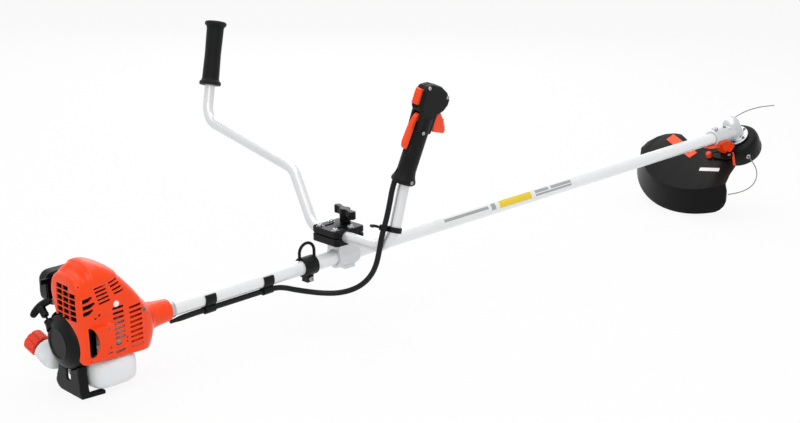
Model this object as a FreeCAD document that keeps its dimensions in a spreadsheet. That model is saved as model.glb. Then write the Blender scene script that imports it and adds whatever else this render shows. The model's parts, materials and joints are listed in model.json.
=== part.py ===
"""String trimmer with a two-stroke engine, a U handlebar, a bevel gear head and a line head.

Every piece is first built in the shaft frame: X runs along the shaft tube towards the cutting head, Y to
the user's left and Z up, with the origin on the crankshaft axis where the tube leaves the fan case. The
stance then lifts the whole machine so that the engine stand and the skirt of the shield both meet the floor.
Lengths are in millimetres and angles in degrees.
"""
import FreeCAD, Part
import math
import os
import re

import Sketcher
from FreeCAD import Placement, Rotation, Vector

SIZES = {
    # shaft tube and drive
    "tube_radius": 12.7, "tube_wall": 1.5, "tube_seat": 24, "tube_stop": 56, "shaft_radius": 3.5,
    "bush_count": 5, "bush_length": 25, "bush_pitch": 290, "first_bush": 150, "running_gap": 0.05,
    "collar_radius": 14.2, "collar_length": 8, "collar_start": 9.5, "neck_end": 10, "part_gap": 0.4,
    "face_gap": 0.5,
    # fan case
    "neck_radius": 17.5, "neck_root": 20, "neck_start": 38, "throat_x": 52, "throat_radius": 24,
    "case_front_x": 66,
    "case_front_radius": 38, "case_radius": 43.5, "case_mid_x": 82, "case_back_x": 100, "shell_wall": 3,
    "bearing_radius": 13, "bearing_width": 8, "neck_bearing_x": 44,
    # crank train
    "boss_radius": 7, "journal_radius": 6, "web_radius": 22, "web_width": 9, "pin_radius": 5, "throw": 14,
    "cylinder_x": 125, "pin_length": 10, "crankcase_radius": 34, "chamber_radius": 27, "chamber_half": 18,
    "crank_back": 176, "crank_front": 70.5, "crankcase_back": 168, "flywheel_radius": 36, "flywheel_x": 97,
    "disc_width": 4, "blade_count": 16, "blade_width": 9, "blade_thick": 2, "hub_radius": 12,
    "shoe_radius": 22.8, "shoe_x": 80.5, "shoe_width": 9.5, "shoe_slot": 3, "drum_radius": 26, "drum_wall": 2,
    "drum_back_x": 81.5, "drum_front_x": 66,
    # cylinder
    "bore_radius": 16, "sleeve_radius": 19.5, "fin_radius": 22.5, "fin_count": 6, "fin_thick": 2,
    "fin_pitch": 5.6,
    "first_fin_z": 42, "cylinder_foot_z": 34.5, "cylinder_top_z": 80, "bore_top_z": 75, "piston_gap": 0.08,
    "piston_base_z": 50, "piston_height": 24, "wrist_z": 60, "wrist_radius": 4, "rod_width": 7, "rod_half": 5,
    "rod_end_z": 20.5, "plug_radius": 4.5, "plug_hex": 7.5, "boot_radius": 8.5, "boot_base_z": 84,
    "boot_height": 8,
    # muffler, intake and air cleaner
    "muffler_x": 156, "muffler_length": 49, "muffler_y": 43.5, "muffler_depth": 19, "muffler_z": 36,
    "muffler_height": 40, "carb_z": 56, "insulator_y": 24.5, "insulator_depth": 6, "carb_depth": 19,
    "carb_half": 16, "throat": 7, "cleaner_back": 180, "cleaner_length": 74, "cleaner_z": 39,
    "cleaner_height": 50, "base_depth": 3, "cleaner_depth": 22, "cleaner_round": 15, "cleaner_wall": 2.5,
    "knob_radius": 9, "knob_depth": 7, "stud_radius": 3, "purge_radius": 5.5, "purge_x": 173, "purge_y": 43.7,
    "purge_z": 47.8, "purge_travel": 3, "purge_rim": 1.5, "purge_back": 150, "choke_x": 168, "choke_z": 80,
    "choke_length": 24, "choke_thick": 3,
    "choke_pin": 2.5,
    # starter
    "housing_back": 200, "housing_shoulder": 189, "housing_radius": 43, "badge_radius": 25,
    "badge_depth": 1.5,
    "housing_wall": 2.5, "housing_post": 5, "post_front": 178, "pulley_radius": 29, "pulley_back": 192,
    "pulley_width": 10, "rope_groove": 4, "rope_radius": 1.6, "guide_y": 23.5, "guide_z": 16.5,
    "guide_radius": 6.5,
    "guide_length": 14, "rope_angle": 40, "rope_show": 7, "stem_radius": 7.5, "stem_length": 18,
    "tee_radius": 5.5, "tee_length": 42, "tee_turn": 121, "guide_x": 192.5,
    # tank, cap, fuel lines
    "tank_right": 50, "tank_left": 58, "tank_bottom": 72, "tank_top": 26,
    "tank_round": 11, "tank_wall": 2.5, "saddle_gap": 2, "lobe_back": 190, "lobe_length": 50, "lobe_y": 47,
    "lobe_width": 29, "lobe_bottom": 62, "lobe_height": 34, "cap_x": 184, "cap_y": 91, "cap_z": -28,
    "cap_radius": 17.5, "cap_height": 21, "cap_lobes": 6, "neck_bore": 13, "tank_neck": 16,
    "tank_neck_length": 26,
    "cap_rise": 27, "cap_back": 13, "line_radius": 2.5, "line_wall": 0.8,
    # engine cover
    "cover_back": 187, "cover_front": 72, "cover_right": 48, "cover_left": 22, "cover_crown": 25,
    "cover_low": 22,
    "cover_tip": 26, "cover_wall": 2.5, "cover_shoulder_z": 96, "cover_top_x": 170, "cover_top_z": 116,
    "cover_crest_x": 140,
    "cover_slope_x": 122, "cover_slope_z": 105, "cover_bend_x": 100, "cover_bend_z": 86, "cover_nose_z": 46,
    "cover_round": 18, "cover_round_left": 32, "slot_height": 3.8, "slot_pitch": 7.7, "slot_count": 9,
    "slot_width": 22, "slot_gap": 4.5, "slot_front_x": 86, "slot_base_z": 19, "slot_rise": 6,
    "gill_x": 160, "gill_width": 14, "gill_z": 54, "gill_pitch": 10, "gill_count": 3, "peep_x": 132.7,
    "peep_z": -2.6,
    "peep_radius": 3.8, "grid_columns": 3, "grid_rows": 7, "grid_width": 15, "grid_height": 5,
    "grid_step": 19.5, "grid_pitch": 7.6, "grid_y": 42, "grid_z": 38, "vent_width": 20, "vent_x": 112,
    "vent_z": 68, "vent_count": 3, "vent_step": 26, "vent_pitch": 7,
    # engine stand
    "foot_drop": 82.5, "foot_x": 170, "stand_back": 187, "stand_depth": 15, "stand_wall": 4,
    "window_width": 10,
    "window_height": 20, "window_low": 60, "prong_reach": 147, "prong_width": 11, "prong_right": 34,
    "prong_left": 9,
    "foot_thick": 5,
    # clips and hanger
    "clip_radius": 15, "clip_width": 20, "first_clip_x": 54, "second_clip_x": 170, "clip_mouth": 26,
    "clip_lip": 8,
    "conduit_radius": 4.6, "cable_y": -6, "cable_z": -16.95, "hanger_x": 258, "hanger_width": 27,
    "hanger_radius": 16.5,
    "loop_radius": 18.5, "loop_rod": 2.6, "loop_z": 24, "loop_x": 271.5, "lug_x": 265, "lug_width": 14,
    "lug_drop": 27,
    "lug_half": 7, "bolt_radius": 2.5, "head_radius": 4.5, "head_depth": 4,
    # handle bracket and clamp
    "bracket_x": 330, "bracket_length": 46, "bracket_radius": 19, "bracket_half": 16, "block_x": 314,
    "block_length": 64, "block_right": 28, "block_width": 64, "block_low": 27, "block_top": 53,
    "split_gap": 1.5,
    "block_round": 6, "bar_x": 336.6, "bar_z": 41.2, "bar_radius": 9.5, "bar_wall": 1.5, "knob_x": 364,
    "knob_y": 6, "wing_hub": 9.5, "wing_height": 26, "wing_reach": 31, "wing_thick": 13, "wing_rise": 12,
    "wing_turn": -77, "bolt_inset": 8, "bolt_side": 12, "front_bolt_gap": 6, "front_bolt_side": 8,
    "knob_stud": 4,
    # handlebar, in its own leaning plane
    "bar_lean": 17.1, "bend_radius": 42, "left_top_y": 433.5, "left_top_z": 309, "left_low_y": 406.8,
    "left_low_z": 132.8, "left_bend_y": 138, "left_bend_z": 87.1, "left_foot_y": 58.2, "right_foot_y": -134,
    "right_bend_z": 105, "grip_lean": 8.76, "grip_base": 14.6, "right_reach": 118,
    "left_grip_length": 120, "left_grip_radius": 16, "flange_radius": 20.5, "flange_width": 7,
    # throttle grip
    "grip_shift": 5.5, "grip_half": 15.6, "cuff_radius": 20.5, "cuff_base": 7, "cuff_top": 8, "cuff_neck": 17,
    "handle_top": 106, "head_half": 12.5, "head_round": 5, "pocket_half": 6.6, "trigger_x": 14,
    "trigger_z": 113,
    "trigger_half": 6, "pivot_radius": 2.2, "lock_x": 19.5, "lock_z": 106, "lock_half": 5.5,
    "switch_low": 124, "switch_height": 26, "switch_half": 6, "switch_depth": 9, "switch_back": 38,
    "switch_travel": 6, "screw_radius": 3, "screw_depth": 1.6, "screw_sink": 1.2, "cable_entry_x": 17,
    "cable_entry_y": 7,
    # gear case
    "head_x": 1554, "head_tilt": 35, "clamp_back": 91, "gear_clamp_radius": 18, "case_axis_radius": 19,
    "dome_rise": 24, "flange_top": 10, "case_flange_radius": 29, "case_flange_width": 4, "gear_cavity": 16.2,
    "pinion_cavity": 11.5, "cone_distance": 24.7, "pinion_teeth": 13, "wheel_teeth": 21, "face_width": 8,
    "hub_length": 31, "hub_rod": 6, "hub_socket": 22, "output_radius": 5, "output_top": 33, "output_low": 56,
    "plate_radius": 26, "top_bush_radius": 9, "top_bush_width": 5, "case_stop": 14, "ear_length": 16,
    "ear_width": 8,
    "ear_height": 9, "ear_inset": 3, "pinion_seat": 27, "pinion_room": 49, "hub_start": 28, "seat_gap": 3,
    "seat_step": 12,
    # shield
    "plate_level": 14, "plate_thick": 3.5, "skirt_depth": 61, "rim_a": 8, "rim_b": 58, "crease_radius": 172,
    "skirt_radius": 195, "skirt_shift": 8, "skirt_wall": 3, "mouth_radius": 54, "end_start": 60,
    "strap_half": 15,
    "strap_thick": 4, "strap_length": 44, "web_length": 30, "web_half": 9, "web_depth": 42,
    "saddle_length": 34,
    "saddle_inset": 3, "barrel_low": 46, "band_width": 22, "band_length": 98, "band_turn": 65.8, "band_a": 40,
    "band_b": 157, "band_thick": 1.5, "knife_a": 110, "knife_b": 187, "knife_k": 38, "knife_width": 24,
    "knife_height": 34, "knife_thick": 1.5,
    # line head
    "drum_top": 18, "head_radius_out": 48, "head_wall": 2.5, "head_low": 60, "cover_low_k": 66,
    "knob_out": 26,
    "knob_low": 80, "bump_travel": 6, "spool_radius": 38, "spool_hub": 14, "spool_top": 31, "spool_low": 56,
    "spool_flange": 2, "eyelet_k": 45, "eyelet_radius": 4.6, "eyelet_bore": 1.9, "eyelet_turn": -125,
    "line_gauge": 1.2,
}

# Outlines drawn by hand, as corner points in millimetres; each number gets its own cell in the sheet
OUTLINES = {
    # engine stand seen from behind: y, z
    "stand_leg": [
        (28, -26), (28.5, -49), (33, -59), (38, -69), (37, -74), (31, -79.5), (21, -83), (19, -92),
        (-33, -92),
        (-31, -67), (-29, -49), (-28, -26),
    ],
    # hollow behind the leg's rear wall
    "stand_hollow": [
        (24, -44), (28, -59), (33, -69), (31, -72), (26, -75), (-26, -75), (-26, -67), (-25, -44),
    ],
    # head of the throttle grip seen from the right: x, z
    "grip_head": [
        (-22, 82), (-24, 112), (-31, 120), (-32, 148), (-27, 156), (-14, 161), (4, 160.5), (20, 153.5),
        (30, 143),
        (30, 133), (24, 122), (11, 112), (10, 96), (9, 82),
    ],
    "trigger": [
        (9, 117), (24, 118), (33, 110), (41, 100), (46, 92), (46, 87), (20, 85), (17, 96), (12, 107),
    ],
    "trigger_pocket": [
        (5, 122), (16, 124), (27, 121), (40, 112), (52, 96), (52, 80), (12, 80), (10.5, 96), (5, 106),
    ],
    "lockout": [
        (-15, 110), (-22, 111), (-27, 104), (-31.5, 86), (-33.5, 60), (-31, 52), (-25, 49), (-24, 56),
        (-22.5, 98), (-15, 100),
    ],
    "lock_pocket": [
        (-12, 113), (-31, 114), (-45, 100), (-45, 45), (-18, 45), (-16, 96), (-12, 98),
    ],
    # screws of the throttle grip: x, z
    "grip_screws": [(-24, 154), (22, 146), (-10, 82), (-5.5, 0)],
    # shield seen along the head axis: a, b
    "shield_plan": [
        (49, -22), (84, -46), (110, -46), (144, -52), (188, -70), (240, -70), (240, 260), (112, 260),
        (98, 212),
        (66.5, 205), (45, 189), (33, 173), (26, 152), (25, 134), (36, 113), (48, 97), (51, 60), (52, 20),
    ],
    # piece taken off the right end of the skirt: b, k
    "skirt_end": [
        (-72, 19), (-47, 19), (-43, 36), (-42, 52), (-38, 64), (-30, 72), (-18, 77), (-72, 77),
    ],
    # vent in the side of the engine cover behind the exhaust guard: x, z
    "cover_window": [
        (-177, 31), (-171, 29), (-165.5, 19), (-163, 6), (-166, -6), (-171, -14), (-177, -15),
    ],
}

ALIAS = re.compile(r"[a-z][a-z_0-9]*")
ALONG = {
    "x": Rotation(Vector(0, 1, 0), 90),
    "y": Rotation(Vector(1, 0, 0), -90),
    "z": Rotation(),
}
ORIGIN = ("0", "0", "0")


def traced(name):
    """The cells that hold the corner points of an outline."""
    return [(f"{name}_u{i}", f"{name}_v{i}") for i in range(len(OUTLINES[name]))]


for title, corners in OUTLINES.items():
    for cells, corner in zip(traced(title), corners):
        SIZES.update(zip(cells, corner))

doc = FreeCAD.newDocument("string_trimmer")
sheet = doc.addObject("Spreadsheet::Sheet", "Sizes")
for row, (alias, value) in enumerate(SIZES.items(), start=1):
    sheet.set(f"A{row}", alias)
    sheet.set(f"B{row}", str(value))
    sheet.setAlias(f"B{row}", alias)
doc.recompute()

nodes = {}


def mm(alias):
    """The value of one cell of the sheet."""
    return float(sheet.get(alias))


def expression(text):
    """An expression in which each size's name points at its cell."""
    return ALIAS.sub(lambda found: "Sizes." + found[0] if found[0] in SIZES else found[0], str(text))


def bind(target, **cells):
    """Tie properties of a document object to expressions of the sheet."""
    for name, text in cells.items():
        target.setExpression(name, expression(text))
    return target


def put(target, at, turn=Rotation()):
    """Place an object at a point given by three expressions."""
    target.Placement = Placement(Vector(), turn)
    for letter, text in zip("xyz", at):
        if text != "0":
            target.setExpression(f"Placement.Base.{letter}", expression(text))
    return target


def rod(radius, length, at=ORIGIN, along="x", turn=None):
    """A cylinder that starts at a point and runs along an axis."""
    cylinder = bind(doc.addObject("Part::Cylinder", "Rod"), Radius=radius, Height=length)
    return put(cylinder, at, turn or ALONG[along])


def block(length, width, height, at=ORIGIN, turn=Rotation()):
    """A box with its low corner at a point."""
    box = bind(doc.addObject("Part::Box", "Block"), Length=length, Width=width, Height=height)
    return put(box, at, turn)


def ball(radius, at=ORIGIN):
    """A sphere."""
    return put(bind(doc.addObject("Part::Sphere", "Ball"), Radius=radius), at)


def cone(low_radius, high_radius, height, at=ORIGIN, along="z"):
    """A truncated cone that starts at a point and runs along an axis."""
    shape = doc.addObject("Part::Cone", "Cone")
    return put(bind(shape, Radius1=low_radius, Radius2=high_radius, Height=height), at, ALONG[along])


def fuse(*pieces):
    """The union of several pieces."""
    union = doc.addObject("Part::MultiFuse", "Fuse")
    union.Shapes = list(pieces)
    return union


def cut(base, *tools):
    """A piece with other pieces taken out of it."""
    result = doc.addObject("Part::Cut", "Cut")
    result.Base = base
    result.Tool = tools[0] if len(tools) == 1 else fuse(*tools)
    return result


def common(first, second):
    """What two pieces share."""
    result = doc.addObject("Part::Common", "Common")
    result.Base = first
    result.Tool = second
    return result


def group(*pieces):
    """Separate solids that make one node."""
    compound = doc.addObject("Part::Compound", "Group")
    compound.Links = list(pieces)
    return compound


def ring(outer, inner, width, at=ORIGIN, along="x"):
    """A washer, bush or bearing."""
    return cut(rod(outer, width, at, along), rod(inner, width, at, along))


def rounded(base, radius, chosen):
    """Fillet the edges of a piece that a test chooses."""
    doc.recompute()
    result = doc.addObject("Part::Fillet", "Fillet")
    result.Base = base
    edges = [i for i, edge in enumerate(base.Shape.Edges, start=1) if chosen(edge)]
    result.Edges = [(i, mm(radius), mm(radius)) for i in edges]
    return result


def every_edge(_edge):
    return True


def solid(shape):
    """A document object that holds a shape worked out from the sheet."""
    feature = doc.addObject("Part::Feature", "Shape")
    feature.Shape = shape
    return feature


def node(name, piece, frame):
    """Name a finished piece and note the frame that it is built in."""
    piece.Label = name
    nodes[name] = (piece, frame)
    return piece


def sketch_on(body, role, offset=None):
    """A sketch on one of a body's own origin planes, moved along its normal by an expression."""
    plane = next(item for item in body.Origin.OriginFeatures if item.Role == role)
    drawing = body.newObject("Sketcher::SketchObject", "Sketch")
    drawing.AttachmentSupport = [(plane, "")]
    drawing.MapMode = "FlatFace"
    if offset:
        drawing.setExpression("AttachmentOffset.Base.z", expression(offset))
    return drawing


def number(text):
    """What an expression comes to now."""
    return float(sheet.evalExpression(expression(text)))


def outline(drawing, points):
    """A closed outline of straight lines whose corners are tied to the sheet."""
    corners = [Vector(number(x), number(y), 0) for x, y in points]
    first = drawing.GeometryCount
    count = len(corners)
    for i, corner in enumerate(corners):
        drawing.addGeometry(Part.LineSegment(corner, corners[(i + 1) % count]))
    for i in range(count):
        drawing.addConstraint(Sketcher.Constraint("Coincident", first + i, 2, first + (i + 1) % count, 1))
    for i, (corner, texts) in enumerate(zip(corners, points)):
        for kind, value, text in zip(("DistanceX", "DistanceY"), (corner.x, corner.y), texts):
            place = drawing.addConstraint(Sketcher.Constraint(kind, -1, 1, first + i, 1, value))
            drawing.setExpression(f"Constraints[{place}]", expression(text))


def circle(drawing, x, y, radius):
    """A circle whose centre and radius are tied to the sheet."""
    centre = Vector(number(x), number(y), 0)
    index = drawing.addGeometry(Part.Circle(centre, Vector(0, 0, 1), number(radius)))
    for kind, value, text in (("DistanceX", centre.x, x), ("DistanceY", centre.y, y)):
        place = drawing.addConstraint(Sketcher.Constraint(kind, -1, 1, index, 3, value))
        drawing.setExpression(f"Constraints[{place}]", expression(text))
    place = drawing.addConstraint(Sketcher.Constraint("Radius", index, number(radius)))
    drawing.setExpression(f"Constraints[{place}]", expression(radius))


def turned(points, axis="H_Axis"):
    """A body of revolution: its half section lies in the XZ plane and turns about the plane's axis."""
    body = doc.addObject("PartDesign::Body", "Turned")
    drawing = sketch_on(body, "XZ_Plane")
    outline(drawing, points)
    turning = body.newObject("PartDesign::Revolution", "Revolution")
    turning.Profile = drawing
    turning.ReferenceAxis = (drawing, [axis])
    turning.Angle = 360
    return body


def padded(points, length, role="XZ_Plane", offset=None, holes=()):
    """A body padded from an outline, with round holes, along its plane's normal."""
    body = doc.addObject("PartDesign::Body", "Padded")
    drawing = sketch_on(body, role, offset)
    outline(drawing, points)
    for x, y, radius in holes:
        circle(drawing, x, y, radius)
    pad = bind(body.newObject("PartDesign::Pad", "Pad"), Length=length)
    pad.Profile = drawing
    return body


def bent_path(points, radii):
    """Straight runs joined by tangent arcs, one arc for each inner point."""
    edges = []
    start = points[0]
    for before, corner, after, radius in zip(points, points[1:], points[2:], radii):
        into = (corner - before).normalize()
        out = (after - corner).normalize()
        half_turn = into.getAngle(out) / 2
        setback = radius * math.tan(half_turn)
        arc_start = corner - into * setback
        arc_end = corner + out * setback
        middle = corner + (out - into).normalize() * (radius / math.cos(half_turn) - radius)
        if (arc_start - start).Length > 1e-6:
            edges.append(Part.LineSegment(start, arc_start).toShape())
        edges.append(Part.Arc(arc_start, middle, arc_end).toShape())
        start = arc_end
    edges.append(Part.LineSegment(start, points[-1]).toShape())
    return Part.Wire(edges)


def cord_radii(points):
    """The largest arcs that a cord's route leaves room for."""
    radii = []
    for before, corner, after in zip(points, points[1:], points[2:]):
        run_in = corner - before
        run_out = after - corner
        half_turn = run_in.getAngle(run_out) / 2
        shorter = min(run_in.Length, run_out.Length)
        radii.append(0.45 * shorter / math.tan(half_turn))
    return radii


def pipe(path, radius):
    """A round bar swept along a path."""
    start = path.Edges[0].valueAt(path.Edges[0].FirstParameter)
    heading = path.Edges[0].tangentAt(path.Edges[0].FirstParameter)
    section = Part.Wire([Part.makeCircle(radius, start, heading)])
    return path.makePipeShell([section], True, False)


def cord(name, points, radius):
    """A cord's solid along its route; prints its length and radii, and compares its volume."""
    route = [Vector(*point) for point in points]
    radii = cord_radii(route)
    path = bent_path(route, radii)
    shape = pipe(path, radius)
    ratio = shape.Volume / (math.pi * radius ** 2 * path.Length)
    print(name, "length", round(path.Length, 1), "volume ratio", round(ratio, 4))
    print("  radii", [round(value, 1) for value in radii])
    return solid(shape)


# Frames of the sub-assemblies, all within the shaft frame
tilt = math.radians(mm("head_tilt"))
HEAD = Placement(
    Vector(mm("head_x"), 0, 0),
    Rotation(
        Vector(-math.cos(tilt), 0, -math.sin(tilt)),
        Vector(0, 1, 0),
        Vector(math.sin(tilt), 0, -math.cos(tilt)),
        "ZXY",
    ),
)
BAR = Placement(Vector(mm("bar_x"), 0, mm("bar_z")), Rotation(Vector(0, 1, 0), mm("bar_lean")))
lean = math.radians(mm("grip_lean"))
grip_base = Vector(
    0,
    mm("right_foot_y") - mm("grip_base") * math.sin(lean),
    mm("right_bend_z") + mm("grip_base") * math.cos(lean),
)
GRIP = BAR * Placement(grip_base, Rotation(Vector(1, 0, 0), mm("grip_lean")))
left_run = Vector(0, mm("left_top_y") - mm("left_low_y"), mm("left_top_z") - mm("left_low_z")).normalize()
LEFT_GRIP = BAR * Placement(
    Vector(0, mm("left_top_y"), mm("left_top_z")) - left_run * (mm("left_grip_length") - mm("flange_width")),
    Rotation(Vector(0, 0, 1), left_run),
)
ROPE = Placement(
    Vector(-mm("guide_x"), mm("guide_y"), mm("guide_z")),
    Rotation(Vector(1, 0, 0), mm("rope_angle") - 90),
)
rise = math.radians(mm("cap_rise"))
back = math.radians(mm("cap_back"))
cap_axis = Vector(-math.sin(back) * math.cos(rise), math.cos(back) * math.cos(rise), math.sin(rise))
CAP = Placement(
    Vector(-mm("cap_x"), mm("cap_y"), mm("cap_z")) - cap_axis * (mm("cap_height") / 2),
    Rotation(Vector(0, 0, 1), cap_axis),
)
SHAFT = Placement()
TUBE_END = "(head_x - tube_stop)"
GEAR_CLAMP = "(head_x - clamp_back)"
HANGER_BOLT = ("lug_x + lug_width / 2", "-lug_half", "-lug_drop + head_radius * 1.4")


def stance():
    """Pitch and height at which the stand's foot and the skirt's rim both meet the floor."""
    rim = HEAD.multVec(
        Vector(mm("rim_a") + mm("skirt_radius"), mm("rim_b"), mm("plate_level") + mm("skirt_depth"))
    )
    foot = Vector(-mm("foot_x"), 0, -mm("foot_drop"))
    pitch = math.degrees(math.atan2(foot.z - rim.z, rim.x - foot.x))
    turn = Rotation(Vector(0, 1, 0), -pitch)
    return Placement(turn.multVec(foot) * -1, turn)


STANCE = stance()
FLOOR = STANCE.inverse()


def build_shaft():
    """The tube with its drive shaft, bushes and collar."""
    tube = ("-tube_seat", "0", "0")
    length = f"tube_seat + {TUBE_END}"
    node("shaft_tube", ring("tube_radius", "tube_radius - tube_wall", length, tube), SHAFT)
    bushes = []
    for i in range(int(mm("bush_count"))):
        at = (f"first_bush + {i} * bush_pitch", "0", "0")
        bushes.append(ring("tube_radius - tube_wall", "shaft_radius + running_gap", "bush_length", at))
    node("shaft_bushes", group(*bushes), SHAFT)
    shaft_end = "head_x - cone_distance - hub_length + hub_socket"
    core = rod("shaft_radius", f"{shaft_end} + drum_front_x", ("-drum_front_x", "0", "0"))
    node("drive_shaft", group(core), SHAFT)
    collar = ring("collar_radius", "tube_radius", "collar_length", ("-collar_start", "0", "0"))
    node("collar_ring", collar, SHAFT)


def build_fan_case():
    """The orange case round the fan and clutch, with the neck that holds the tube."""
    inner_bearing = "-neck_bearing_x + bearing_width / 2"
    outer_bearing = "-neck_bearing_x - bearing_width / 2"
    profile = [
        ("-neck_end", "tube_radius"), ("-neck_end", "neck_radius"), ("-neck_start", "neck_root"),
        ("-throat_x", "throat_radius"), ("-case_front_x", "case_front_radius"),
        ("-case_mid_x", "case_radius"), ("-case_back_x", "case_radius"),
        ("-case_back_x", "case_radius - shell_wall"), ("-case_mid_x", "case_radius - shell_wall"),
        ("-case_front_x", "case_front_radius - shell_wall"),
        ("-throat_x - shell_wall", "throat_radius - shell_wall"),
        ("-throat_x", "bearing_radius"), (inner_bearing, "bearing_radius"),
        (inner_bearing, "boss_radius + shell_wall"), ("-tube_seat", "boss_radius + shell_wall"),
        ("-tube_seat", "tube_radius"),
    ]
    node("fan_case", turned(profile), SHAFT)
    return outer_bearing


def build_crank_train(outer_bearing, bearings):
    """Crankcase, crankshaft, bearings, flywheel, clutch and drum."""
    chamber_back = "-cylinder_x - chamber_half"
    case_length = "crankcase_back - case_back_x"
    bearing_seat = "chamber_half * 2 + bearing_width * 2"
    body = fuse(
        rod("crankcase_radius", case_length, ("-crankcase_back", "0", "0")),
        block("fin_radius * 2", "fin_radius * 2", "cylinder_foot_z",
              ("-cylinder_x - fin_radius", "-fin_radius", "0")),
    )
    case = cut(
        body,
        rod("chamber_radius", "chamber_half * 2", (chamber_back, "0", "0")),
        rod("bearing_radius", bearing_seat, (chamber_back + " - bearing_width", "0", "0")),
        rod("journal_radius + part_gap", case_length, ("-crankcase_back", "0", "0")),
        rod("bore_radius", "cylinder_foot_z", ("-cylinder_x", "0", "0"), "z"),
    )
    node("crankcase", case, SHAFT)
    web_back = "-cylinder_x - pin_length / 2 - web_width"
    web_front = "-cylinder_x + pin_length / 2"
    crank = fuse(
        rod("journal_radius", "crank_back - cylinder_x - pin_length / 2", ("-crank_back", "0", "0")),
        rod("web_radius", "web_width", (web_back, "0", "0")),
        rod("pin_radius", "pin_length + web_width * 2", (web_back, "0", "throw")),
        rod("web_radius", "web_width", (web_front, "0", "0")),
        rod("journal_radius", "cylinder_x - pin_length / 2 - crank_front", (web_front, "0", "0")),
    )
    node("crankshaft", crank, SHAFT)
    crank_bore = "journal_radius + running_gap"
    bearings += [
        ring("bearing_radius", crank_bore, "bearing_width", (chamber_back + " - bearing_width", "0", "0")),
        ring("bearing_radius", crank_bore, "bearing_width", ("-cylinder_x + chamber_half", "0", "0")),
        ring("bearing_radius", "boss_radius + running_gap", "bearing_width", (outer_bearing, "0", "0")),
    ]
    node("flywheel_fan", build_flywheel(), SHAFT)
    shoes = cut(
        ring("shoe_radius", "journal_radius", "shoe_width", ("-shoe_x", "0", "0")),
        block("shoe_width", "shoe_radius * 2", "shoe_slot", ("-shoe_x", "-shoe_radius", "-shoe_slot / 2")),
    )
    node("clutch_shoes", shoes, SHAFT)
    drum = [
        ("-drum_back_x", "drum_radius"), ("-drum_front_x", "drum_radius"),
        ("-drum_front_x", "boss_radius"), ("-neck_bearing_x + bearing_width / 2", "boss_radius"),
        ("-neck_bearing_x + bearing_width / 2", "shaft_radius"),
        ("-drum_front_x - drum_wall", "shaft_radius"),
        ("-drum_front_x - drum_wall", "drum_radius - drum_wall"),
        ("-drum_back_x", "drum_radius - drum_wall"),
    ]
    node("clutch_drum", turned(drum), SHAFT)


def build_flywheel():
    """A disc with a hub and a ring of fan blades."""
    body = doc.addObject("PartDesign::Body", "Flywheel")
    disc = sketch_on(body, "YZ_Plane", "-flywheel_x")
    circle(disc, "0", "0", "flywheel_radius")
    circle(disc, "0", "0", "journal_radius")
    base = bind(body.newObject("PartDesign::Pad", "Disc"), Length="disc_width")
    base.Profile = disc
    hub = sketch_on(body, "YZ_Plane", "-flywheel_x + disc_width")
    circle(hub, "0", "0", "hub_radius")
    circle(hub, "0", "0", "journal_radius")
    core = bind(body.newObject("PartDesign::Pad", "Hub"), Length="blade_width")
    core.Profile = hub
    fin = sketch_on(body, "YZ_Plane", "-flywheel_x + disc_width")
    outline(fin, [
        ("-blade_thick / 2", "hub_radius * 1.5"), ("blade_thick / 2", "hub_radius * 1.5"),
        ("blade_thick / 2", "flywheel_radius - blade_thick"),
        ("-blade_thick / 2", "flywheel_radius - blade_thick"),
    ])
    blade = bind(body.newObject("PartDesign::Pad", "Blade"), Length="blade_width")
    blade.Profile = fin
    doc.recompute()
    blades = body.newObject("PartDesign::PolarPattern", "Blades")
    blades.Originals = [blade]
    blades.Axis = (disc, ["N_Axis"])
    blades.Angle = 360
    bind(blades, Occurrences="blade_count")
    body.Tip = blades
    return body


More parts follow.
